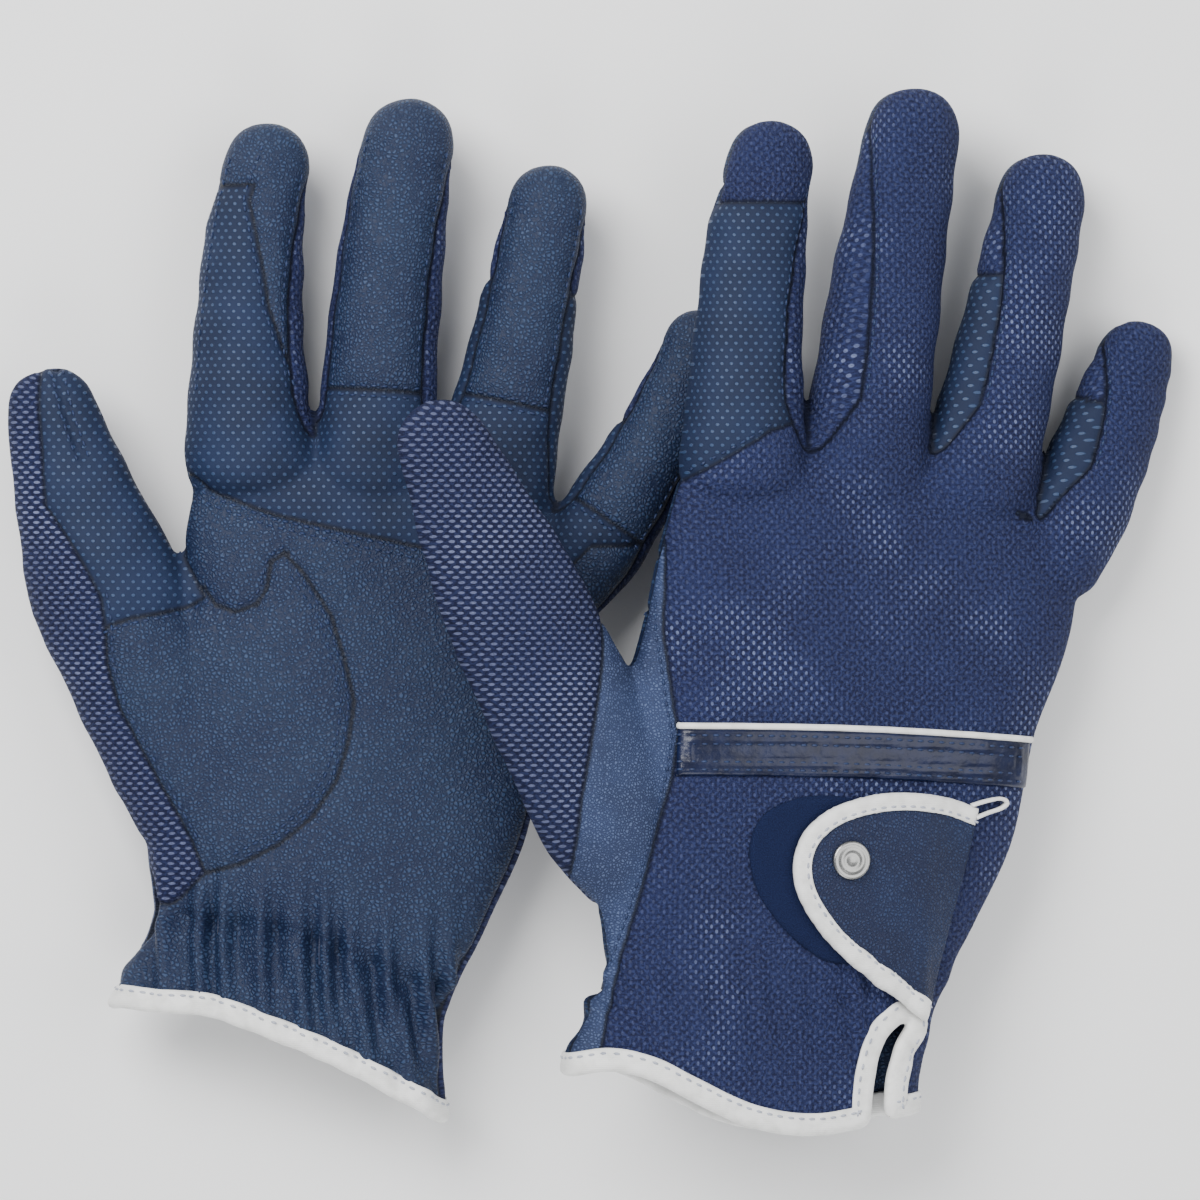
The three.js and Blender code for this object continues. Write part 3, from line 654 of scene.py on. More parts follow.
def relief(glove, stalls, points, reading, seam, sizes):
    """How far the stuffed, stitched and gathered cloth stands off the plain form."""
    x, y = points[:, 0], points[:, 1]
    out = -sizes.valley * bump(seam, SEAM_WIDTH) + FULLNESS * ramp(SEAM_WIDTH, 6.0, seam)
    out += 0.3 * waves(points, 4, 34) * ramp(SEAM_WIDTH, 8, seam) + 0.12 * waves(points, 9, 11)

    # the pleats are highest at the gathers and fade towards the fingers and the cuff
    on_hand = 1 - ramp(30, 50, y)
    rise = height_over(glove["gather"], points)
    wander = 1.6 * np.sin(y * 0.09 + 0.7) + 0.9 * np.sin(x * 0.23)
    pleat = np.cos((x + wander + 0.12 * rise) * 2 * math.pi / PLEAT)
    pleat += 0.35 * np.cos(x * 2 * math.pi / 4.7 + 1.3)
    pull = bump(rise, ELASTIC_WIDTH / 2)
    fall = np.where(rise > 0, np.exp(-rise / PLEAT_FADE_UP), np.exp(rise / PLEAT_FADE_DOWN))
    palm_side = reading.palm > 0
    strength = np.where(palm_side, sizes.gathers, 0.3) if glove is LEFT else np.where(palm_side, 1.0, 0.4)
    out += strength * pleat * fall * on_hand
    out -= np.where(palm_side, 1.5, 0.3) * pull * on_hand

    # slack folds beside the tab, and small tucks where the strip meets the cuff
    if glove is RIGHT:
        fold = np.sin((0.45 * x + 0.9 * y + 1.5 * np.sin(x * 0.15)) * 2 * math.pi / 6.5)
        out += np.where(palm_side, 0, 0.8) * fold * np.exp(-(((x + 8) / 17) ** 2) - (((y + 66) / 11) ** 2))
        tuck = np.cos((x + 0.5 * y) * 2 * math.pi / 5.5)
        out += 0.7 * tuck * np.exp(-(((x + 58) / 8) ** 2) - (((y + 60) / 9) ** 2))

    dart = distance_to(thumb_dart_of(glove), points)
    out -= np.where(palm_side & reading.of("thumb"), 1.2 * bump(dart, 0.9), 0)
    for stall in stalls.values():
        t, across, _, _ = stall.locate(points)
        mine = reading.of(stall.name)
        crease = np.sin(t * 2 * math.pi * 5.5 + 0.8 * np.sin(across * 0.35))
        out += np.where(mine, 0.16 * crease * ramp(0, 0.2, t), 0)
    return out


class Skin:
    """A glove's sewn surface, with what every vertex needs to become cloth."""

    def __init__(self, glove, sizes):
        self.glove = glove
        self.sizes = sizes
        self.stalls = {name: Stall(glove, name) for name in glove["stalls"]}
        bm, self.whole = skin_of(glove, self.stalls)
        names, _ = pieces_of(glove, self.stalls, centres(bm))
        kinds = sorted(set(names))
        index = {name: i for i, name in enumerate(kinds)}
        for face, name in zip(bm.faces, names):
            face.material_index = index[name]
            face.smooth = True
        cloths = [cloth_of(name) for name in kinds]
        seams = [vert for vert in bm.verts
                 if len({cloths[face.material_index] for face in vert.link_faces}) > 1]
        tree = KDTree(len(seams))
        for i, vert in enumerate(seams):
            tree.insert(vert.co, i)
        tree.balance()
        points = places(bm.verts)
        seam = np.array([tree.find(vert.co)[2] for vert in bm.verts])
        bm.normal_update()
        normals = np.array([vert.normal for vert in bm.verts])
        reading = Reading(glove, self.stalls, points)
        lift = relief(glove, self.stalls, points, reading, seam, sizes)
        moved = points + normals * lift[:, None]
        flat = self.unrolled(points, reading)
        outward = bm.verts.layers.float_vector.new("outward")
        distance = bm.verts.layers.float.new("seam")
        across = bm.verts.layers.float.new("across")
        along = bm.verts.layers.float.new("along")
        for vert, place, gap, uv in zip(bm.verts, moved, seam, flat):
            vert.co = place
            vert[distance] = min(gap, NO_SEAM)
            vert[across], vert[along] = uv
        bm.normal_update()
        for vert in bm.verts:
            vert[outward] = vert.normal
        self.kinds = kinds
        self.bm = bm
        self.tree = BVHTree.FromBMesh(bm)
        self.mesh = bpy.data.meshes.new(glove["name"] + "_skin")
        bm.to_mesh(self.mesh)

    def unrolled(self, points, reading):
        """Where each point lies in the flat cloth, in millimetres."""
        flat = points[:, :2].copy()
        flat[:, 0] += reading.arc
        gusset = (reading.back < 0) & (reading.palm < 0)
        flat[gusset, 0] = points[gusset, 2]
        return flat

    def part(self, name):
        """One piece's cut surface."""
        bm = bmesh.new()
        bm.from_mesh(self.mesh)
        number = self.kinds.index(name)
        others = [face for face in bm.faces if face.material_index != number]
        bmesh.ops.delete(bm, geom=others, context="FACES")
        return bm

    def on_top(self, x, y, side):
        """The skin's place and outward normal on the palm or the back."""
        eye, down = Vector((x, y, EYE_HEIGHT * side)), Vector((0, 0, -side))
        place, normal, _, _ = self.tree.ray_cast(eye, down)
        hit = place is not None and normal.z * side >= 0 and place.z * side >= -1
        if not hit:
            place, normal, _, _ = self.whole.ray_cast(eye, down)
        if place is None:
            place, normal, _, _ = self.whole.find_nearest(Vector((x, y, 0)))
            return place, normal
        return (place, normal) if hit else (place + normal * FULLNESS, normal)

    def covers(self, x, y, side):
        """Whether the palm or the back is under this place, and not turning away at its rim."""
        place, normal, _, _ = self.tree.ray_cast(Vector((x, y, EYE_HEIGHT * side)), Vector((0, 0, -side)))
        return place is not None and normal.z * side > 0.15


# ---- Materials ------------------------------------------------------------------------------------


class Nodes:
    """Short ways to wire a shader tree."""

    def __init__(self, tree):
        self.tree = tree

    def add(self, kind, **settings):
        node = self.tree.nodes.new(kind)
        for name, value in settings.items():
            setattr(node, name, value)
        return node

    def feed(self, socket, value):
        if isinstance(value, bpy.types.NodeSocket):
            self.tree.links.new(value, socket)
        else:
            socket.default_value = value

    def math(self, operation, *values):
        node = self.add("ShaderNodeMath", operation=operation)
        for socket, value in zip(node.inputs, values):
            self.feed(socket, value)
        return node.outputs[0]

    def spread(self, value, low, high, to_low=0.0, to_high=1.0):
        node = self.add("ShaderNodeMapRange", interpolation_type="SMOOTHSTEP")
        for socket, number in zip(node.inputs, (value, low, high, to_low, to_high)):
            self.feed(socket, number)
        return node.outputs[0]

    def mix(self, share, a, b):
        node = self.add("ShaderNodeMix", data_type="RGBA")
        self.feed(node.inputs[0], share)
        self.feed(node.inputs[6], a)
        self.feed(node.inputs[7], b)
        return node.outputs[2]


def colour(code):
    """Linear colour of a hex code. A colour that is already numbers stays as it is."""
    if not isinstance(code, str):
        return tuple(code)
    parts = [int(code[i:i + 2], 16) / 255 for i in (0, 2, 4)]
    return (*(part / 12.92 if part <= 0.04045 else ((part + 0.055) / 1.055) ** 2.4 for part in parts), 1)


def group(name, inputs, outputs):
    """An empty node group, with its inputs and outputs ready to wire."""
    tree = bpy.data.node_groups.new(name, "ShaderNodeTree")
    for label, kind, default in inputs:
        socket = tree.interface.new_socket(label, in_out="INPUT", socket_type=kind)
        if default is not None:
            socket.default_value = default
    for label, kind in outputs:
        tree.interface.new_socket(label, in_out="OUTPUT", socket_type=kind)
    nodes = Nodes(tree)
    return nodes, nodes.add("NodeGroupInput").outputs, nodes.add("NodeGroupOutput").inputs


def dots_group():
    """Rows of short dashes, every other row shifted by half a step."""
    nodes, given, result = group(
        "Staggered dots",
        [("Flat", "NodeSocketVector", None), ("Step", "NodeSocketFloat", 2.6),
         ("Row", "NodeSocketFloat", 1.5), ("Length", "NodeSocketFloat", 0.7),
         ("Width", "NodeSocketFloat", 0.4)],
        [("Mask", "NodeSocketFloat")])
    flat = nodes.add("ShaderNodeSeparateXYZ")
    nodes.feed(flat.inputs[0], given["Flat"])
    row = nodes.math("DIVIDE", flat.outputs[1], given["Row"])
    shift = nodes.math("MULTIPLY", nodes.math("FLOORED_MODULO", nodes.math("FLOOR", row), 2.0), 0.5)
    step = nodes.math("ADD", nodes.math("DIVIDE", flat.outputs[0], given["Step"]), shift)
    u = nodes.math("MULTIPLY", nodes.math("SUBTRACT", nodes.math("FRACT", step), 0.5), given["Step"])
    v = nodes.math("MULTIPLY", nodes.math("SUBTRACT", nodes.math("FRACT", row), 0.5), given["Row"])
    u = nodes.math("DIVIDE", u, given["Length"])
    v = nodes.math("DIVIDE", v, given["Width"])
    away = nodes.math("SQRT", nodes.math("ADD", nodes.math("MULTIPLY", u, u), nodes.math("MULTIPLY", v, v)))
    nodes.feed(result["Mask"], nodes.spread(away, 1.15, 0.7))
    return nodes.tree


def grain_group():
    """Pebbled leather: rounded cells between fine creases."""
    nodes, given, result = group(
        "Pebble grain",
        [("Flat", "NodeSocketVector", None), ("Density", "NodeSocketFloat", 1.1)],
        [("Height", "NodeSocketFloat"), ("Crease", "NodeSocketFloat")])
    bend = nodes.add("ShaderNodeTexNoise")
    nodes.feed(bend.inputs["Vector"], given["Flat"])
    nodes.feed(bend.inputs["Scale"], 0.9)
    nodes.feed(bend.inputs["Detail"], 3.0)
    pushed = nodes.add("ShaderNodeVectorMath", operation="MULTIPLY_ADD")
    nodes.feed(pushed.inputs[0], bend.outputs["Color"])
    pushed.inputs[1].default_value = (0.7, 0.7, 0.7)
    nodes.feed(pushed.inputs[2], given["Flat"])
    cells = nodes.add("ShaderNodeTexVoronoi", feature="DISTANCE_TO_EDGE")
    nodes.feed(cells.inputs["Vector"], pushed.outputs[0])
    nodes.feed(cells.inputs["Scale"], given["Density"])
    fine = nodes.add("ShaderNodeTexVoronoi", feature="SMOOTH_F1")
    nodes.feed(fine.inputs["Vector"], pushed.outputs[0])
    nodes.feed(fine.inputs["Scale"], nodes.math("MULTIPLY", given["Density"], 2.1))
    pebble = nodes.spread(cells.outputs["Distance"], 0.0, 0.34)
    height = nodes.math("SUBTRACT", pebble, nodes.math("MULTIPLY", fine.outputs["Distance"], 0.35))
    nodes.feed(result["Height"], height)
    # the creases' mask, used only to paint shade into them
    nodes.feed(result["Crease"], nodes.spread(cells.outputs["Distance"], 0.16, 0.02))
    return nodes.tree


def seam_group():
    """How deep in a seam's valley a point lies, for painting shade into the valley: 1 on the seam, 0 from a
    millimetre away.
    """
    nodes, _, result = group("Seam shade", [], [("Mask", "NodeSocketFloat")])
    distance = nodes.add("ShaderNodeAttribute", attribute_type="GEOMETRY", attribute_name="seam")
    nodes.feed(result["Mask"], nodes.spread(distance.outputs["Fac"], 0.95, 0.15))
    return nodes.tree


def start(name):
    material = bpy.data.materials.new(name)
    material.use_nodes = True
    nodes = Nodes(material.node_tree)
    shader = material.node_tree.nodes["Principled BSDF"]
    flat = nodes.add("ShaderNodeUVMap", uv_map="flat")
    return material, nodes, shader, flat.outputs[0]


def shared(nodes, tree, **values):
    node = nodes.add("ShaderNodeGroup", node_tree=tree)
    for label, value in values.items():
        nodes.feed(node.inputs[label], value)
    return node.outputs


def raised(nodes, shader, height, strength, distance):
    """Bump, with height in the same measure as the distance, in metres."""
    node = nodes.add("ShaderNodeBump")
    nodes.feed(node.inputs["Strength"], strength)
    nodes.feed(node.inputs["Distance"], distance)
    nodes.feed(node.inputs["Height"], height)
    nodes.feed(shader.inputs["Normal"], node.outputs[0])


def patches(nodes, flat, scale, low, high):
    noise = nodes.add("ShaderNodeTexNoise")
    nodes.feed(noise.inputs["Vector"], flat)
    nodes.feed(noise.inputs["Scale"], scale)
    nodes.feed(noise.inputs["Detail"], 4.0)
    return nodes.spread(noise.outputs["Fac"], low, high)


def make_leather(name, tones, groups, roughness=0.5, density=1.1):
    """Grained leather. The tones are two of the base, the painted highlight on the pebbles' crowns and the
    painted shade in the creases.
    """
    material, nodes, shader, flat = start(name)
    grain = shared(nodes, groups["grain"], Flat=flat, Density=density)
    seam = shared(nodes, groups["seam"])["Mask"]
    base = nodes.mix(patches(nodes, flat, 0.05, 0.35, 0.65), colour(tones[0]), colour(tones[1]))
    # painted highlight: the pebbles' crowns are lighter, as where light falls on them
    painted_pebble_highlight = nodes.spread(grain["Height"], 0.5, 0.9)
    base = nodes.mix(nodes.math("MULTIPLY", painted_pebble_highlight, 0.5), base, colour(tones[2]))
    # painted shade in the creases between the pebbles
    base = nodes.mix(nodes.math("MULTIPLY", grain["Crease"], 0.65), base, colour(tones[3]))
    # painted shade in the seams' valleys
    base = nodes.mix(nodes.math("MULTIPLY", seam, 0.85), base, colour("060a17"))
    nodes.feed(shader.inputs["Base Color"], base)
    nodes.feed(shader.inputs["Roughness"], roughness)
    nodes.feed(shader.inputs["Specular IOR Level"], 0.3)
    raised(nodes, shader, grain["Height"], 0.75, 0.00022)
    return material


def make_mesh(name, tones, groups, bright, dash):
    """Knitted mesh: rows of dashes in a fine knit, each with painted light in it. bright is the least painted
    light a dash carries, and dash its half length and half width. The tones are two of the base, the painted
    highlight on the yarn and the painted light in the dashes."""
    material, nodes, shader, flat = start(name)
    dots = shared(nodes, groups["dots"], Flat=flat, Step=2.4, Row=1.15, Length=dash[0], Width=dash[1])["Mask"]
    knit = nodes.add("ShaderNodeTexNoise")
    nodes.feed(knit.inputs["Vector"], flat)
    nodes.feed(knit.inputs["Scale"], 1.4)
    nodes.feed(knit.inputs["Detail"], 2.0)
    yarn = nodes.spread(knit.outputs["Fac"], 0.4, 0.62)
    painted_knit_shade = nodes.spread(knit.outputs["Fac"], 0.45, 0.32)
    seam = shared(nodes, groups["seam"])["Mask"]
    base = nodes.mix(patches(nodes, flat, 0.06, 0.3, 0.7), colour(tones[0]), colour(tones[1]))
    # painted highlight: the knit's raised yarn is lighter, as where light falls on it
    base = nodes.mix(nodes.math("MULTIPLY", yarn, 0.6), base, colour(tones[2]))
    # painted shade in the knit's low places
    base = nodes.mix(nodes.math("MULTIPLY", painted_knit_shade, 0.75), base, colour("090e28"))
    # painted light in the dashes, brighter in some patches than in others
    lit = nodes.spread(patches(nodes, flat, 0.035, 0.42, 0.72), 0.0, 1.0, bright, 0.8)
    base = nodes.mix(nodes.math("MULTIPLY", dots, lit), base, colour(tones[3]))
    # painted shade in the seams' valleys
    base = nodes.mix(nodes.math("MULTIPLY", seam, 0.8), base, colour("070c1e"))
    nodes.feed(shader.inputs["Base Color"], base)
    nodes.feed(shader.inputs["Roughness"], 0.78)
    nodes.feed(shader.inputs["Specular IOR Level"], 0.2)
    height = nodes.math("SUBTRACT", yarn, nodes.math("MULTIPLY", dots, 0.6))
    raised(nodes, shader, height, 0.8, 0.0003)
    return material


def make_grip(name, tone, groups):
    """Cloth with rows of small raised dots of a clear grip."""
    material, nodes, shader, flat = start(name)
    dots = shared(nodes, groups["dots"], Flat=flat, Step=2.3, Row=1.55, Length=0.5, Width=0.42)["Mask"]
    seam = shared(nodes, groups["seam"])["Mask"]
    base = nodes.mix(patches(nodes, flat, 0.06, 0.3, 0.7), tone, colour("142342"))
    base = nodes.mix(nodes.math("MULTIPLY", dots, 0.6), base, colour("3c5173"))
    # painted shade in the seams' valleys
    base = nodes.mix(nodes.math("MULTIPLY", seam, 0.8), base, colour("070c1e"))
    nodes.feed(shader.inputs["Base Color"], base)
    nodes.feed(shader.inputs["Roughness"], nodes.spread(dots, 0.0, 1.0, 0.7, 0.38))
    nodes.feed(shader.inputs["Specular IOR Level"], 0.3)
    fine = patches(nodes, flat, 5.0, 0.3, 0.7)
    raised(nodes, shader, nodes.math("ADD", dots, nodes.math("MULTIPLY", fine, 0.15)), 0.7, 0.0003)
    return material


def make_patent(name):
    """Glossy, slightly wavy patent."""
    material, nodes, shader, flat = start(name)
    base = nodes.mix(patches(nodes, flat, 0.2, 0.3, 0.7), colour("080f29"), colour("111b3c"))
    nodes.feed(shader.inputs["Base Color"], base)
    nodes.feed(shader.inputs["Roughness"], 0.32)
    nodes.feed(shader.inputs["Specular IOR Level"], 0.3)
    nodes.feed(shader.inputs["Coat Weight"], 0.22)
    nodes.feed(shader.inputs["Coat Roughness"], 0.12)
    raised(nodes, shader, patches(nodes, flat, 0.5, 0.2, 0.8), 0.35, 0.0004)
    return material


def make_tape(name, tones=("f2f2f0", "dededb")):
    """Woven tape and thread."""
    material, nodes, shader, flat = start(name)
    weave = nodes.add("ShaderNodeTexWave", wave_type="BANDS", bands_direction="Y")
    nodes.feed(weave.inputs["Vector"], flat)
    nodes.feed(weave.inputs["Scale"], 0.7)
    nodes.feed(weave.inputs["Distortion"], 0.6)
    base = nodes.mix(patches(nodes, flat, 0.3, 0.35, 0.75), colour(tones[0]), colour(tones[1]))
    nodes.feed(shader.inputs["Base Color"], base)
    nodes.feed(shader.inputs["Roughness"], 0.55)
    raised(nodes, shader, weave.outputs["Fac"], 0.25, 0.00015)
    return material


def make_steel(name):
    """Satin steel."""
    material, nodes, shader, flat = start(name)
    brush = nodes.add("ShaderNodeTexNoise")
    nodes.feed(brush.inputs["Vector"], flat)
    nodes.feed(brush.inputs["Scale"], 6.0)
    base = nodes.mix(brush.outputs["Fac"], colour("8d8d8c"), colour("b0b0ae"))
    nodes.feed(shader.inputs["Base Color"], base)
    nodes.feed(shader.inputs["Metallic"], 1.0)
    nodes.feed(shader.inputs["Roughness"], nodes.spread(brush.outputs["Fac"], 0.3, 0.7, 0.2, 0.38))
    return material


def make_pile(name, tones=("131a38", "1b2548")):
    """Hook and loop pile."""
    material, nodes, shader, flat = start(name)
    fuzz = nodes.add("ShaderNodeTexNoise")
    nodes.feed(fuzz.inputs["Vector"], flat)
    nodes.feed(fuzz.inputs["Scale"], 3.4)
    nodes.feed(fuzz.inputs["Detail"], 5.0)
    tufts = nodes.spread(fuzz.outputs["Fac"], 0.35, 0.65)
    nodes.feed(shader.inputs["Base Color"], nodes.mix(tufts, colour(tones[0]), colour(tones[1])))
    nodes.feed(shader.inputs["Roughness"], 0.9)
    nodes.feed(shader.inputs["Specular IOR Level"], 0.15)
    raised(nodes, shader, fuzz.outputs["Fac"], 1.0, 0.0006)
    return material


def make_materials(colours):
    groups = {"dots": dots_group(), "grain": grain_group(), "seam": seam_group()}
    return {
        "leather": make_leather(
            "Grained leather", (colours.leather, "1d2c47", "3a4f70", "0a1430"), groups, 0.55),
        "strip": make_leather(
            "Side strip leather", ("2c3857", "37466a", "5d6c8f", "16213f"), groups, 0.65, 1.5),
        "tab": make_leather(
            "Tab leather", ("151f3c", "1a2848", "2f4062", "0a1230"), groups, 0.55, 1.3),
        "mesh": make_mesh(
            "Back mesh", (colours.mesh, "1c2245", "2e375f", "707a9f"), groups, 0.12, (0.36, 0.5)),
        "thumb mesh": make_mesh(
            "Thumb mesh", ("111531", "151b3a", "222a4d", "747b9e"), groups, 0.45, (0.72, 0.36)),
        "grip": make_grip("Grip cloth", colours.grip, groups),
        "patent": make_patent("Patent band"),
        "tape": make_tape("White tape", (colours.tape, "dededb")),
        "steel": make_steel("Satin steel"),
        "pile": make_pile("Hook and loop pile"),
        "elastic": make_tape("Covered elastic", ("1f2a4a", "141d38")),
        "thread": make_tape("Navy thread", ("16264a", "1d3158")),
        "white thread": make_tape("White thread", ("b4b8c4", "9da2b2")),
    }


# ---- Pieces ---------------------------------------------------------------------------------------


def glove_matrix(glove):
    """From the glove's own millimetres to the frame's metres, read from a knuckle's hinge."""
    joints = {joint["name"]: joint for joint in frame["joints"]}
    hinge = Vector(joints[glove["name"] + "_middle_bend"]["pos_m"])
    turn = Matrix.Identity(3)
    for mount in frame["record"]["mounts"]:
        if glove["back"] > 0 and mount["name"].startswith(glove["name"]):
            axis = mount["axis"]
            turn = Matrix.Rotation(math.atan2(axis[0], axis[2]), 3, "Y")
    size = glove["stalls"]["middle"]
    stall = Stall(glove, "middle")
    knuckle = size["knuckle"]
    point, slope = Vector(stall.at(knuckle)), Vector(stall.along(knuckle))
    across = Vector((slope.y, -slope.x, 0)).normalized()
    root, middle, _ = size["width"]
    half = (root + (middle - root) * knuckle * 2) / 2
    above = point + across.cross(slope) * (half * FINGER_DEPTH + CLOTH_GAP)
    place = hinge - turn @ above * MM
    return Matrix.Translation(place) @ turn.to_4x4() @ Matrix.Scale(MM, 4)


def closed(bm, grow):
    """Gives a surface thickness: a copy of it, moved by grow(vert), and walls between the two."""
    mark = bm.verts.layers.int.new("inner")
    made = bmesh.ops.extrude_face_region(bm, geom=bm.faces[:], use_keep_orig=True)["geom"]
    for vert in made:
        if isinstance(vert, bmesh.types.BMVert):
            vert.co += grow(vert)
            vert[mark] = 1
    bmesh.ops.recalc_face_normals(bm, faces=bm.faces)
    return bm


def finish_piece(bm, name, matrix, materials, normals=None):
    """Turns a built surface into an object in the frame's metres, with its flat coordinates."""
    uv = bm.loops.layers.uv.get("flat") or bm.loops.layers.uv.new("flat")
    across, along = bm.verts.layers.float.get("across"), bm.verts.layers.float.get("along")
    for face in bm.faces:
        face.smooth = True
        for loop in face.loops:
            vert = loop.vert
            loop[uv].uv = (vert[across], vert[along]) if across else (vert.co.x, vert.co.y)
    mesh = bpy.data.meshes.new(name)
    bm.to_mesh(mesh)
    bm.free()
    mesh.transform(matrix)
    for material in materials:
        mesh.materials.append(material)
    if normals is not None:
        turn = matrix.to_3x3().normalized()
        mesh.normals_split_custom_set_from_vertices([turn @ normal for normal in normals])
    piece = bpy.data.objects.new(name, mesh)
    bpy.context.scene.collection.objects.link(piece)
    return piece


LOOKS = {
    "back_panel": "mesh", "palm_panel": "leather", "side_strip": "strip", "grip_panel": "grip",
    "thenar_back": "thumb mesh", "thenar_palm": "leather", "thumb_back": "thumb mesh", "thumb_grip": "grip",
    "index_grip": "grip", "index_gusset": "mesh", "middle_gusset": "mesh", "ring_gusset": "grip",
    "little_gusset": "grip", "ring_gusset_tip": "mesh", "little_gusset_tip": "mesh",
    "index_back": "mesh", "middle_back": "mesh", "ring_back": "mesh",
    "little_back": "mesh", "index_palm": "leather", "middle_palm": "leather", "ring_palm": "leather",
    "little_palm": "leather",
}


def carried(piece, skin, part, matrix):
    """Puts the piece on the hand's body. A piece of a finger or the thumb only has its place baked into its
    mesh, but the left little finger is held still, so its pieces ride on the hand, as the hand's own do."""
    glove = skin.glove
    hand = glove["name"] + "_hand"
    if part not in skin.stalls or (glove is LEFT and part == "little"):
        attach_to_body(piece, hand)
        return
    stall = skin.stalls[part]
    point, slope = Vector(stall.at(stall.knuckle)), Vector(stall.along(stall.knuckle))
    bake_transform(piece)


def make_cloth(skin, name, matrix, looks, thickness):
    glove = skin.glove
    bm = skin.part(name)
    for face in bm.faces:
        face.material_index = 0
    outward = bm.verts.layers.float_vector["outward"]
    closed(bm, lambda vert: vert[outward] * -thickness)
    inner = bm.verts.layers.int["inner"]
    normals = [vert[outward] * (-1 if vert[inner] else 1) for vert in bm.verts]
    look = LOOKS[name]
    node = glove["name"] + "_" + name
    piece = finish_piece(bm, node + "_cloth", matrix, [looks[look]], normals)
    if not name.endswith("_tip"):
        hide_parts(node)
    carried(piece, skin, name.split("_")[0], matrix)


def rounded_line(line, times=2):
    """The same line with its corners cut, so that it reads as a curve."""
    points = np.asarray(line, float)
    for _ in range(times):
        cut = np.empty((2 * len(points) - 2, points.shape[1]))
        cut[0::2] = points[:-1] * 0.75 + points[1:] * 0.25
        cut[1::2] = points[:-1] * 0.25 + points[1:] * 0.75
        points = np.vstack([points[:1], cut[1:-1], points[-1:]])
    return points


def laid(skin, field, low, high, side, lift, height, step=0.9, spread=True):
    """A layer on the skin: its plan is where the field is above 0, in the box from low to high.
    lift(points) is how far its underside stands off, height(points, depth) how thick it is."""
    bm = bmesh.new()
    size = Vector(high) - Vector(low)
    middle = (Vector(low) + Vector(high)) / 2
    place = Matrix.Translation((*middle, 0)) @ Matrix.Diagonal((size.x, size.y, 1, 1))
    bmesh.ops.create_grid(bm, x_segments=max(2, round(size.x / step)),
                          y_segments=max(2, round(size.y / step)), size=0.5, matrix=place)
    slit(bm, field, close=step * 0.12)
    drop(bm, field(centres(bm)) < 0)
    points = places(bm.verts)
    rise = lift(points)
    thick = height(points, field(points))
    across = bm.verts.layers.float.new("across")
    along = bm.verts.layers.float.new("along")
    outward = bm.verts.layers.float_vector.new("outward")
    seam = bm.verts.layers.float.new("seam")
    for vert, point, up, deep in zip(bm.verts, points, rise, thick):
        vert[across], vert[along] = point[0], point[1]
        vert[seam] = NO_SEAM
        spot, normal = skin.on_top(point[0], point[1], side)
        if spread:
            normal = (normal + Vector((0, 0, side)) * 1.5).normalized()
        vert[outward] = normal * deep
        vert.co = spot + normal * up
    return closed(bm, lambda vert: vert[outward])


def level(height):
    """The same height everywhere, for laid."""
    return lambda points: np.full(len(points), height)


def rounded(depth, edge):
    """A rounded edge: 0.35 of the full height at the rim, all of it from edge inwards."""
    share = np.clip(depth / edge, 0, 1)
    return 0.35 + 0.65 * np.sqrt(1 - (1 - share) ** 2)


def swept(path, normals, section, closed_path):
    """A section of (inwards, outwards) points carried along a path. inwards is tangent x normal."""
    path, normals = np.asarray(path, float), np.asarray(normals, float)
    count, around = len(path), len(section)
    if closed_path:
        tangents = np.roll(path, -1, axis=0) - np.roll(path, 1, axis=0)
    else:
        tangents = np.gradient(path, axis=0)
    tangents /= np.linalg.norm(tangents, axis=1, keepdims=True)
    inwards = np.cross(tangents, normals)
    inwards /= np.linalg.norm(inwards, axis=1, keepdims=True)
    outwards = np.cross(inwards, tangents)

    def place(u, v):
        i = round(v * (count if closed_path else count - 1)) % count
        a, b = section[round(u * around) % around]
        return Vector(path[i] + inwards[i] * a + outwards[i] * b)

    return wrapped(around, count if closed_path else count - 1, place, caps=not closed_path)


def evenly(path, step, closed_path, smooth=0):
    """The same path at equal steps, its small kinks averaged out."""
    points = np.asarray(path, float)
    if closed_path:
        points = np.vstack([points, points[:1]])
    gaps = np.linalg.norm(np.diff(points[:, :3], axis=0), axis=1)
    reach = np.concatenate([[0], np.cumsum(gaps)])
    count = max(3, round(reach[-1] / step))
    at = np.linspace(0, reach[-1], count + 1)
    result = np.stack([np.interp(at, reach, points[:, i]) for i in range(points.shape[1])], axis=1)
    if closed_path:
        result = result[:-1]
    for _ in range(smooth):
        ahead, behind = np.roll(result, -1, axis=0), np.roll(result, 1, axis=0)
        mean = (ahead + behind) / 4 + result / 2
        if not closed_path:
            mean[0], mean[-1] = result[0], result[-1]
        result = mean
    return result


def edge_loop(bm):
    """The skin's open edge in order: rows of place and outward normal."""
    outward = bm.verts.layers.float_vector["outward"]
    links = {}
    for edge in bm.edges:
        if edge.is_boundary:
            a, b = edge.verts
            links.setdefault(a, []).append(b)
            links.setdefault(b, []).append(a)
    loops = []
    left = dict(links)
    while left:
        vert = next(iter(left))
        loop = []
        while vert in left:
            loop.append(vert)
            following = [other for other in left.pop(vert) if other in left]
            if not following:
                break
            vert = following[0]
        loops.append(loop)
    longest = max(loops, key=len)
    return np.array([[*vert.co, *vert[outward]] for vert in longest])


def attach(piece, skin, nodes, body):
    """Hides the frame's parts that the piece stands for, and puts the piece on the body that carries it."""
    name = skin.glove["name"]
    if nodes:
        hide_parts(*[name + "_" + node for node in nodes])
    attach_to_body(piece, name + "_" + body)


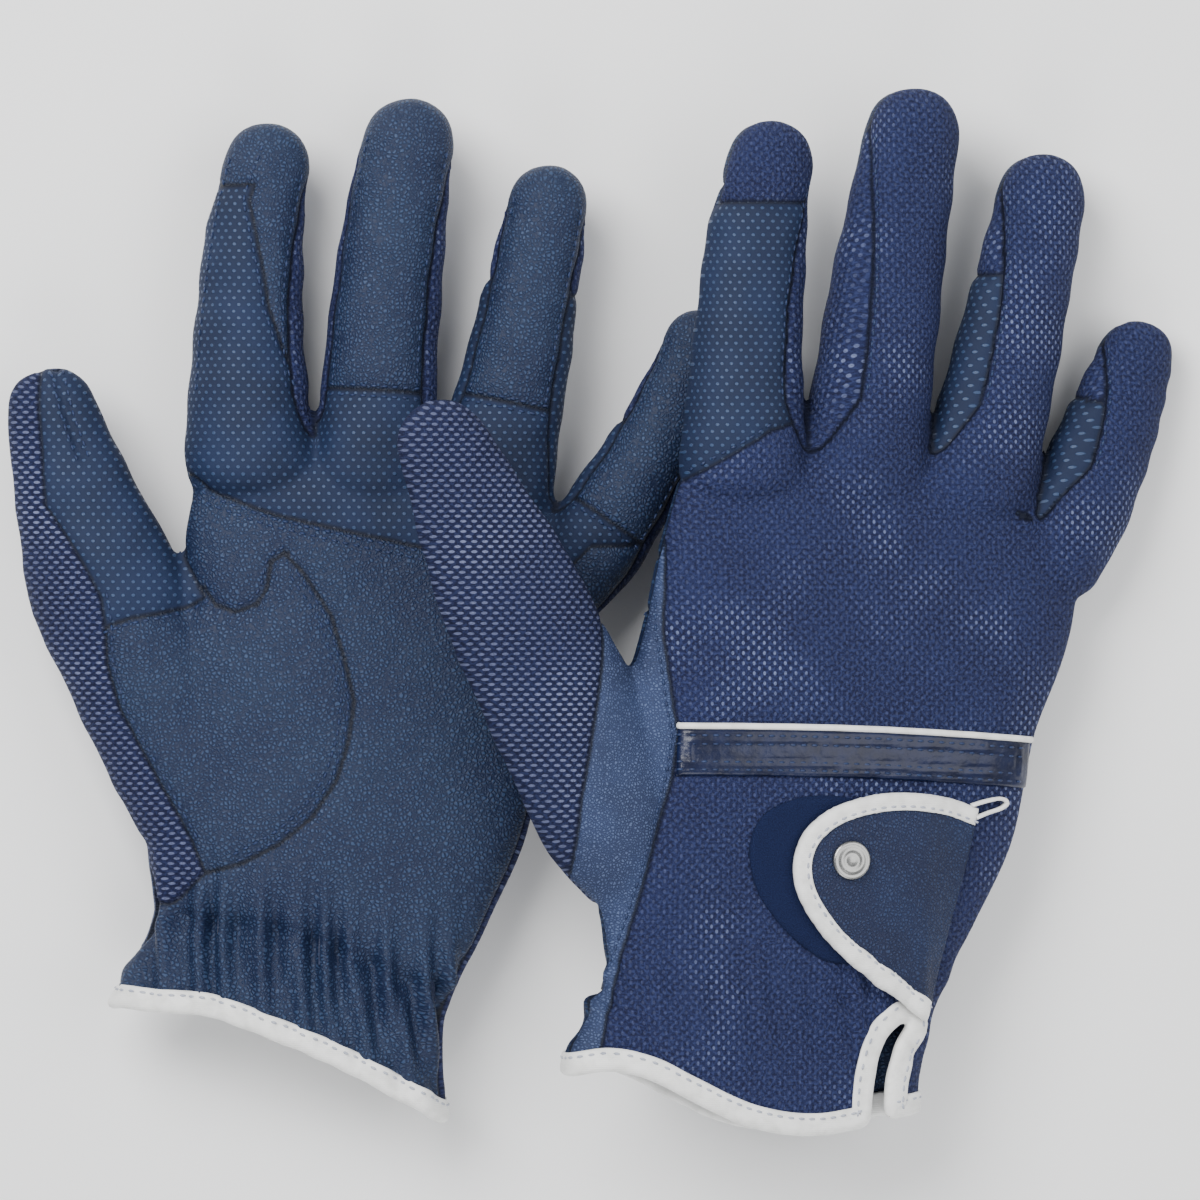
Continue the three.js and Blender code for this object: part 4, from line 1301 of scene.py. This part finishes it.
def make_binding(skin, matrix, looks):
    """The cuff's folded tape, which also runs round the vent."""
    loop = edge_loop(skin.bm)
    path = evenly(loop, 0.9, True, smooth=6)
    normals = path[:, 3:] / np.linalg.norm(path[:, 3:], axis=1, keepdims=True)
    tangents = np.roll(path[:, :3], -1, axis=0) - np.roll(path[:, :3], 1, axis=0)
    inwards = np.cross(tangents, normals)
    if inwards[:, 1].sum() < 0:
        path, normals = path[::-1], normals[::-1]
    sewn = bmesh.new()
    for i in range(0, len(path), 3):
        tangent = Vector(path[(i + 1) % len(path), :3] - path[i - 1, :3]).normalized()
        normal = Vector(normals[i])
        inward = tangent.cross(normal).normalized()
        place = Vector(path[i, :3]) + inward * BINDING_SEAM + normal * BINDING_HEIGHT
        add_stitch(sewn, place, tangent, normal, STITCH_LENGTH)
    piece = finish_piece(sewn, skin.glove["name"] + "_cuff_stitches", matrix, [looks["white thread"]])
    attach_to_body(piece, skin.glove["name"] + "_hand")
    # inwards over the outside of the cloth, round its edge and back over the inside
    section = [(4.2, 0.05), (4.25, 0.6), (3.7, 0.9), (2.2, 0.85), (1.0, 1.0), (-0.2, 0.9), (-0.9, 0.2),
               (-1.1, -0.5), (-0.9, -1.2), (-0.2, -1.9), (1.0, -2.0), (3.7, -1.9), (4.25, -1.6), (4.2, -1.1),
               (0.1, -1.1), (0.1, 0.05)]
    bm = swept(path[:, :3], normals, section[::-1], True)
    piece = finish_piece(bm, skin.glove["name"] + "_cuff_tape", matrix, [looks["tape"]])
    attach(piece, skin, ["cuff_binding"], "hand")


def band_line(glove, share, down):
    """Points across the knuckle band: share 0 to 1 along it, down millimetres below its upper edge."""
    first, last = (np.array(point) for point in BAND_ENDS)
    along = last - first
    length = np.linalg.norm(along)
    below = np.array([along[1], -along[0]]) / length
    share = np.asarray(share, float)[:, None]
    line = first + along * share + below * down
    line[:, 1] += 0.9 * np.sin(share[:, 0] * math.pi)
    return line if glove is RIGHT else moved_to(LEFT, RIGHT, line)


def make_band(skin, matrix, looks):
    """The patent band across the knuckles and the piping along its upper edge."""
    glove, side = skin.glove, skin.glove["back"]
    shares = np.linspace(0, 1.03, 24)
    outline = np.vstack([band_line(glove, shares, 11.4), band_line(glove, shares[::-1], 0.6)])
    low, high = outline.min(axis=0) - 1, outline.max(axis=0) + 1

    def height(points, depth):
        rows = 0.28 * (bump(depth - 1.7, 0.4) + bump(depth - 3.6, 0.4))
        return 1.15 * rounded(depth, 1.2) - rows + 0.22 * bump(depth - 2.65, 0.7)

    bm = laid(skin, lambda p: inside(outline, p), low, high, side, level(0.05), height, 0.7)
    piece = finish_piece(bm, glove["name"] + "_band", matrix, [looks["patent"]])
    attach(piece, skin, ["knuckle_band"], "hand")
    path, normals = [], []
    for x, y in band_line(glove, np.linspace(0, 1.03, 90), 0.1):
        spot, normal = skin.on_top(x, y, side)
        path.append(spot + normal * PIPING_RADIUS)
        normals.append(normal)
    angles = np.linspace(0, 2 * math.pi, 10, endpoint=False)
    ring = [(PIPING_RADIUS * math.cos(angle), PIPING_RADIUS * math.sin(angle)) for angle in angles]
    bm = swept(path, normals, ring, False)
    piece = finish_piece(bm, glove["name"] + "_piping", matrix, [looks["tape"]])
    attach(piece, skin, ["band_piping"], "hand")


def make_tab(skin, matrix, looks):
    """The wrist tab with its tape, pads, pull loop, stitches and snap."""
    glove, side = skin.glove, skin.glove["back"]
    root = np.array(glove["tab_root"])
    tab = rounded_line(TAB_EDGE) + root
    low, high = tab.min(axis=0) - 1, tab.max(axis=0) + 1
    name = glove["name"]

    pad = rounded_line(PAD_EDGE) + root
    bm = laid(skin, lambda p: inside(pad, p), pad.min(axis=0) - 1, pad.max(axis=0) + 1, side,
              level(0.05), lambda p, d: 1.05 * rounded(d, 1.0))
    piece = finish_piece(bm, name + "_loop_pile", matrix, [looks["pile"]])
    attach(piece, skin, ["loop_pad"], "hand")

    hook = root + np.array(HOOK_PLACE)
    bm = laid(skin, lambda p: HOOK_RADIUS - np.hypot(p[:, 0] - hook[0], p[:, 1] - hook[1]),
              hook - HOOK_RADIUS - 1, hook + HOOK_RADIUS + 1, side,
              level(1.2), lambda p, d: 0.8 * rounded(d, 0.8))
    piece = finish_piece(bm, name + "_hook_pile", matrix, [looks["pile"]])
    attach(piece, skin, ["hook_pad"], "tab")

    def lift(points):
        return TAB_LIFT + 1.85 * ramp(2, 13, root[0] + 3 - points[:, 0])

    def leather(points):
        return np.minimum(inside(tab, points), distance_to(tab, points) - TAPE_WIDTH)

    def taped(points):
        return np.minimum(inside(tab, points) + 0.01, TAPE_WIDTH - distance_to(tab, points))

    bm = laid(skin, leather, low, high, side, lift, lambda p, d: 1.3 + 0.25 * ramp(0, 5, d), 0.8)
    piece = finish_piece(bm, name + "_tab_leather", matrix, [looks["tab"]])
    attach(piece, skin, ["wrist_tab"], "tab")

    def tape_height(points, depth):
        outer = np.clip(inside(tab, points), 0, None)
        return 2.0 * rounded(np.minimum(outer, depth + 0.6), 1.1) - 0.22 * bump(outer - 3.0, 0.35)

    bm = laid(skin, taped, low, high, side, lambda p: lift(p) - 0.15, tape_height, 0.7)
    piece = finish_piece(bm, name + "_tab_tape", matrix, [looks["tape"]])
    attach(piece, skin, ["tab_binding"], "tab")

    path, normals = [], []
    for px, py in evenly(rounded_line(PULL_LOOP) + root, 0.5, False):
        spot, normal = skin.on_top(px, py, side)
        path.append(spot + normal * 1.1)
        normals.append(normal)
    strap = [(0.35, -0.8), (0.45, 0), (0.35, 0.8), (-0.35, 0.8), (-0.45, 0), (-0.35, -0.8)]
    bm = swept(path, normals, strap, False)
    piece = finish_piece(bm, name + "_pull_loop", matrix, [looks["tape"]])
    attach(piece, skin, [], "hand")

    sewn = bmesh.new()
    for point in sewn_places(beside(tab, TAPE_SEAM), 2.4):
        if inside(tab, point[None, :2])[0] > 0:
            spot, normal = skin.on_top(point[0], point[1], side)
            normal = (normal + Vector((0, 0, side)) * 1.5).normalized()
            along = Vector((point[2], point[3], 0))
            along = (along - normal * along.dot(normal)).normalized()
            height = float(lift(point[None, :2])[0]) + TAPE_TOP
            add_stitch(sewn, spot + normal * height, along, normal, 1.6)
    piece = finish_piece(sewn, name + "_tab_stitches", matrix, [looks["white thread"]])
    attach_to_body(piece, name + "_tab")

    x, y = root + np.array(RIVET_PLACE)
    spot, normal = skin.on_top(x, y, side)
    normal = (normal + Vector((0, 0, side)) * 1.5).normalized()
    base = spot + normal * (float(lift(np.array([[x, y]]))[0]) + 1.5)
    # radius and height, from the cap's middle over its rings to the foot of the shank
    profile = [(0, 1.35), (0.9, 1.38), (1.3, 1.18), (1.9, 1.16), (2.2, 1.34), (2.9, 1.3), (3.2, 1.12),
               (3.6, 1.1), (3.9, 1.2), (4.25, 1.05), (4.45, 0.6), (4.4, 0.1), (4.0, 0.0), (1.4, 0.0),
               (1.3, -1.2), (0, -1.2)]
    turn = normal.to_track_quat("Z", "Y").to_matrix()

    def place(u, v):
        radius, rise = profile[round(v * (len(profile) - 1))]
        angle = u * 2 * math.pi
        return base + turn @ Vector((radius * math.cos(angle), radius * math.sin(angle), rise))

    bm = wrapped(48, len(profile) - 1, place)
    piece = finish_piece(bm, name + "_snap", matrix, [looks["steel"]])
    attach(piece, skin, ["snap_rivet"], "tab")


def make_elastic(skin, matrix, looks):
    """The covered elastic behind the gathers, inside the palm."""
    glove = skin.glove
    side = -glove["back"]
    line = np.asarray(glove["gather"], float)
    inner = evenly(line, 2.0, False)
    keep = (inner[:, 0] > inner[:, 0].min() + 12) & (inner[:, 0] < inner[:, 0].max() - 8)
    inner = inner[keep]
    low, high = inner.min(axis=0) - 5, inner.max(axis=0) + 5

    bm = laid(skin, lambda p: 3.5 - distance_to(inner, p), low, high, side,
              level(-2.3), lambda p, d: 1.0 * rounded(d, 0.5), 0.9, spread=False)
    piece = finish_piece(bm, glove["name"] + "_elastic", matrix, [looks["elastic"]])
    attach(piece, skin, ["wrist_elastic"], "hand")


# ---- Stitching ------------------------------------------------------------------------------------


def beside(line, offset):
    """The same open line, moved sideways in plan."""
    points = evenly(np.asarray(line, float), 1.0, False, smooth=3)
    slope = np.gradient(points, axis=0)
    slope /= np.linalg.norm(slope, axis=1, keepdims=True)
    return points + np.stack([-slope[:, 1], slope[:, 0]], axis=1) * offset


def add_stitches(bm, skin, line, side, lift=0.1):
    """A row of raised stitches over a line in plan, on the palm or the back."""
    for point in sewn_places(line, skin.sizes.stitch_pitch):
        if not skin.covers(point[0], point[1], side):
            continue
        spot, normal = skin.on_top(point[0], point[1], side)
        along = Vector((point[2], point[3], 0))
        along = (along - normal * along.dot(normal)).normalized()
        add_stitch(bm, spot + normal * lift, along, normal, STITCH_LENGTH)


def sewn_places(line, pitch):
    """Rows of place and direction, one for each stitch of a line in plan."""
    points = evenly(np.asarray(line, float), pitch, False)
    slope = np.gradient(points, axis=0)
    slope /= np.linalg.norm(slope, axis=1, keepdims=True)
    return np.hstack([points, slope])


def add_stitch(bm, spot, along, normal, length):
    """One raised stitch: a long rounded bead."""
    across = normal.cross(along)
    turn = Matrix((along, across, normal)).transposed().to_4x4()
    shape = Matrix.Diagonal((length / 2, *STITCH_SECTION, 1))
    bmesh.ops.create_icosphere(bm, subdivisions=1, radius=1, matrix=Matrix.Translation(spot) @ turn @ shape)


def stall_row(stall, panel, hand, start, end, inset=1.6):
    """A line in plan along one side of a finger's palm or back panel. hand is -1 or 1, the finger's side."""
    t = np.linspace(start, end, 60)
    reach = stall.gusset[panel][0 if hand < 0 else 1] * math.pi / 180
    taper = (1 - t**3.5) * np.clip(0.35 + 0.65 * t / stall.knuckle, 0, 1)
    half = stall.half(t)
    depth = stall.depth(t)
    angle = np.arctan(np.tan(np.maximum(reach * taper, 0)) * depth / half)
    wide = half * depth / np.sqrt((depth * np.cos(angle)) ** 2 + (half * np.sin(angle)) ** 2) * np.cos(angle)
    across = (wide - inset) * hand
    slope = stall.along(t)
    return stall.at(t)[:, :2] + np.stack([slope[:, 1], -slope[:, 0]], axis=1) * across[:, None]


def make_stitches(skin, matrix, looks):
    """The rows of stitches beside the seams, one piece for each part that moves."""
    glove, name = skin.glove, skin.glove["name"]
    palm_side, back_side = -glove["back"], glove["back"]
    palm_seams, back_seams = seams_of(glove)
    sewn = {part: bmesh.new() for part in ["hand", *skin.stalls]}
    hand = sewn["hand"]

    oval = np.asarray(palm_seams["oval"])[1:10]
    for gap in (1.1, 2.8):
        add_stitches(hand, skin, beside(oval, gap), palm_side)
    grip = np.asarray(palm_seams["grip"])[1:8]
    for gap in (-1.2, -2.9):
        add_stitches(hand, skin, beside(grip, gap), palm_side)
    edge = np.asarray(palm_seams["thumb_mesh"])[5:12]
    add_stitches(hand, skin, beside(edge, 1.6), palm_side)
    add_stitches(hand, skin, beside(np.asarray(palm_seams["thumb_grip"])[:5], -1.2), palm_side)
    crotch = np.asarray(palm_seams["oval"])[10:17]
    add_stitches(hand, skin, beside(crotch, -1.3), palm_side)
    strip = np.asarray(back_seams["strip_inner"])[1:9]
    add_stitches(hand, skin, beside(strip, -1.5), back_side)
    patch = np.asarray(back_seams["index_patch"])[1:6]
    add_stitches(hand, skin, beside(patch, 1.3), back_side)

    for finger, stall in skin.stalls.items():
        if finger == "thumb":
            continue
        for side in (-1, 1):
            row = stall_row(stall, -1, side, stall.knuckle + 0.03, 0.96)
            add_stitches(sewn[finger], skin, row, palm_side)
            if stall.gusset[1][0 if side < 0 else 1] > 20:
                row = stall_row(stall, 1, side, stall.knuckle + 0.03, 0.93, 1.2)
                add_stitches(sewn[finger], skin, row, back_side)
        base = stall_row(stall, -1, -1, stall.knuckle, stall.knuckle + 0.001)[0]
        far = stall_row(stall, -1, 1, stall.knuckle, stall.knuckle + 0.001)[0]
        if finger != "index":
            line = np.linspace(base, far, 12)
            add_stitches(sewn[finger], skin, beside(line, 1.2), palm_side)
            add_stitches(hand, skin, beside(line, -1.2), palm_side)
    for gap in (-1.4, 1.4):
        add_stitches(sewn["thumb"], skin, beside(thumb_dart_of(glove), gap), palm_side)
    dart = np.array(dart_of(glove)[2:][::-1], float)
    add_stitches(sewn["index"], skin, beside(dart[1:7], -1.3), palm_side)
    band = [band_line(glove, np.linspace(0.01, 0.99, 60), down) for down in (2.2, 4.2, 8.2, 10.0)]

    for part, bm in sewn.items():
        if not bm.verts:
            bm.free()
            continue
        piece = finish_piece(bm, name + "_" + part + "_stitches", matrix, [looks["thread"]])
        carried(piece, skin, part, matrix)

    bm = bmesh.new()
    for line in band:
        add_stitches(bm, skin, line, back_side, lift=1.1)
    piece = finish_piece(bm, name + "_band_stitches", matrix, [looks["thread"]])
    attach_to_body(piece, name + "_hand")


# ---- Stage ----------------------------------------------------------------------------------------

VIEW_CENTRE = (62.1, 27.6)  # in the left glove's millimetres
VIEW_WIDTH = 0.276
CAMERA_DISTANCE = 2.2
GLOVE_TOP = 0.02
LAMPS = (  # name, place, size, power
    ("Key", (-0.45, 0.5, 0.9), 0.7, 17),
    ("Fill", (0.7, 0.1, 0.8), 0.9, 6.5),
    ("Low", (0.0, -0.8, 0.6), 0.6, 4),
)


def make_stage(matrix):
    """The floor, the lights and the camera, which looks straight down on the pair."""
    target = matrix @ Vector((*VIEW_CENTRE, 0))
    floor = bpy.data.meshes.new("Floor")
    bm = bmesh.new()
    bmesh.ops.create_grid(bm, x_segments=1, y_segments=1, size=2)
    bm.to_mesh(floor)
    bm.free()
    plane = bpy.data.objects.new("Floor", floor)
    plane.location = (0, 0, -0.0005)
    bpy.context.scene.collection.objects.link(plane)
    material = bpy.data.materials.new("Pale floor")
    material.use_nodes = True
    shader = material.node_tree.nodes["Principled BSDF"]
    shader.inputs["Base Color"].default_value = (0.96, 0.96, 0.96, 1)
    shader.inputs["Roughness"].default_value = 0.9
    floor.materials.append(material)

    world = bpy.data.worlds.new("Studio")
    world.use_nodes = True
    world.node_tree.nodes["Background"].inputs[0].default_value = (0.95, 0.97, 1, 1)
    world.node_tree.nodes["Background"].inputs[1].default_value = 0.47
    bpy.context.scene.world = world
    for name, place, size, power in LAMPS:
        lamp = bpy.data.lights.new(name, "AREA")
        lamp.size = size
        lamp.energy = power
        light = bpy.data.objects.new(name, lamp)
        light.location = place
        light.rotation_euler = (target - Vector(place)).to_track_quat("-Z", "Y").to_euler()
        bpy.context.scene.collection.objects.link(light)

    lens = bpy.data.cameras.new("Camera")
    camera = bpy.data.objects.new("Camera", lens)
    lens.lens = lens.sensor_width * CAMERA_DISTANCE / VIEW_WIDTH
    lens.clip_end = 10
    camera.location = (target.x, target.y, CAMERA_DISTANCE + GLOVE_TOP)
    bpy.context.scene.collection.objects.link(camera)
    bpy.context.scene.camera = camera


# ---- Add-on ---------------------------------------------------------------------------------------

GLOVES = {"left": LEFT, "right": RIGHT}
WORK = {}  # the skins being sewn and the materials, while the operators run


def looks_of(scene):
    """The materials, made once."""
    if "looks" not in WORK:
        WORK["looks"] = make_materials(scene.glove_colours)
    return WORK["looks"]


class GloveSizes(bpy.types.PropertyGroup):
    """Sizes that every glove shares."""

    thickness: bpy.props.FloatProperty(
        name="Cloth thickness", description="Thickness of mesh, leather and grip cloth, in millimetres",
        default=1.0, min=0.4, max=1.2, unit="NONE")
    stitch_pitch: bpy.props.FloatProperty(
        name="Stitch pitch", description="Distance from one stitch to the next, in millimetres",
        default=2.5, min=1.5, max=5.0, unit="NONE")
    valley: bpy.props.FloatProperty(
        name="Seam depth", description="How far a seam sinks below the panels beside it, in millimetres",
        default=0.65, min=0.0, max=1.5, unit="NONE")
    gathers: bpy.props.FloatProperty(
        name="Gathers", description="Height of the pleats that the wrist elastic draws, in millimetres",
        default=2.3, min=0.0, max=3.0, unit="NONE")


class GloveColours(bpy.types.PropertyGroup):
    """Colours of the cloths."""

    leather: bpy.props.FloatVectorProperty(
        name="Leather", description="Base colour of the palm's leather", subtype="COLOR", size=4,
        min=0, max=1, default=colour("172440"))
    mesh: bpy.props.FloatVectorProperty(
        name="Mesh", description="Base colour of the knitted back", subtype="COLOR", size=4,
        min=0, max=1, default=colour("171b3a"))
    grip: bpy.props.FloatVectorProperty(
        name="Grip cloth", description="Base colour of the dotted grip cloth", subtype="COLOR", size=4,
        min=0, max=1, default=colour("101c36"))
    tape: bpy.props.FloatVectorProperty(
        name="Tape", description="Colour of the bindings and the piping", subtype="COLOR", size=4,
        min=0, max=1, default=colour("f2f2f0"))


def glove_choice():
    """The property that says which glove an operator works on."""
    return bpy.props.EnumProperty(
        name="Glove", description="Which glove of the pair",
        items=[("left", "Left", "The glove that lies palm up"),
               ("right", "Right", "The glove that lies back up")])


class GLOVES_OT_cloth(bpy.types.Operator):
    """Cut the glove's skin along its seams and give every panel its thickness"""

    bl_idname = "gloves.cloth"
    bl_label = "Panels"
    glove: glove_choice()

    def execute(self, context):
        sizes, looks = context.scene.glove_sizes, looks_of(context.scene)
        glove = GLOVES[self.glove]
        skin = WORK[self.glove] = Skin(glove, sizes)
        for name in skin.kinds:
            make_cloth(skin, name, glove_matrix(glove), looks, sizes.thickness)
        return {"FINISHED"}


def sewn_glove(side, scene):
    """What the makers of trim need: the glove's skin, its place in the frame and the materials."""
    if side not in WORK:
        raise RuntimeError("Sew the panels of this glove first")
    return WORK[side], glove_matrix(GLOVES[side]), looks_of(scene)


class GLOVES_OT_binding(bpy.types.Operator):
    """Fold the white tape over the cuff and the vent"""

    bl_idname = "gloves.binding"
    bl_label = "Cuff tape"
    glove: glove_choice()

    def execute(self, context):
        make_binding(*sewn_glove(self.glove, context.scene))
        return {"FINISHED"}


class GLOVES_OT_band(bpy.types.Operator):
    """Lay the patent band and its piping across the back"""

    bl_idname = "gloves.band"
    bl_label = "Knuckle band"
    glove: glove_choice()

    def execute(self, context):
        make_band(*sewn_glove(self.glove, context.scene))
        return {"FINISHED"}


class GLOVES_OT_tab(bpy.types.Operator):
    """Add the tab, its tape, pads, snap and pull loop"""

    bl_idname = "gloves.tab"
    bl_label = "Wrist tab"
    glove: glove_choice()

    def execute(self, context):
        make_tab(*sewn_glove(self.glove, context.scene))
        return {"FINISHED"}


class GLOVES_OT_elastic(bpy.types.Operator):
    """Add the elastic behind the gathers"""

    bl_idname = "gloves.elastic"
    bl_label = "Wrist elastic"
    glove: glove_choice()

    def execute(self, context):
        make_elastic(*sewn_glove(self.glove, context.scene))
        return {"FINISHED"}


class GLOVES_OT_stitches(bpy.types.Operator):
    """Sew the rows of stitches beside the seams"""

    bl_idname = "gloves.stitches"
    bl_label = "Stitches"
    glove: glove_choice()

    def execute(self, context):
        make_stitches(*sewn_glove(self.glove, context.scene))
        return {"FINISHED"}


STEPS = (GLOVES_OT_cloth, GLOVES_OT_binding, GLOVES_OT_band, GLOVES_OT_tab, GLOVES_OT_elastic,
         GLOVES_OT_stitches)


class GLOVES_OT_stage(bpy.types.Operator):
    """Add the floor, the lights and the camera"""

    bl_idname = "gloves.stage"
    bl_label = "Stage"

    def execute(self, context):
        make_stage(glove_matrix(LEFT))
        return {"FINISHED"}


class GLOVES_PT_pair(bpy.types.Panel):
    """The sizes, the colours and the steps, in the order they are run"""

    bl_idname = "GLOVES_PT_pair"
    bl_label = "Riding gloves"
    bl_space_type = "VIEW_3D"
    bl_region_type = "UI"
    bl_category = "Gloves"

    def draw(self, context):
        for settings in (context.scene.glove_sizes, context.scene.glove_colours):
            for label in settings.__annotations__:
                self.layout.prop(settings, label)
        for side in GLOVES:
            for step in STEPS:
                self.layout.operator(step.bl_idname, text=f"{step.bl_label}, {side}").glove = side
        self.layout.operator(GLOVES_OT_stage.bl_idname)


CLASSES = (GloveSizes, GloveColours, *STEPS, GLOVES_OT_stage, GLOVES_PT_pair)


def register():
    for kind in CLASSES:
        bpy.utils.register_class(kind)
    bpy.types.Scene.glove_sizes = bpy.props.PointerProperty(type=GloveSizes)
    bpy.types.Scene.glove_colours = bpy.props.PointerProperty(type=GloveColours)


def unregister():
    del bpy.types.Scene.glove_colours
    del bpy.types.Scene.glove_sizes
    for kind in reversed(CLASSES):
        bpy.utils.unregister_class(kind)


def main():
    register()
    for side in GLOVES:
        bpy.ops.gloves.cloth(glove=side)
        bpy.ops.gloves.binding(glove=side)
        bpy.ops.gloves.band(glove=side)
        bpy.ops.gloves.tab(glove=side)
        bpy.ops.gloves.elastic(glove=side)
        bpy.ops.gloves.stitches(glove=side)
        skin = WORK.pop(side)
        skin.bm.free()
        bpy.data.meshes.remove(skin.mesh)
    bpy.ops.gloves.stage()


if __name__ == "__main__":
    main()
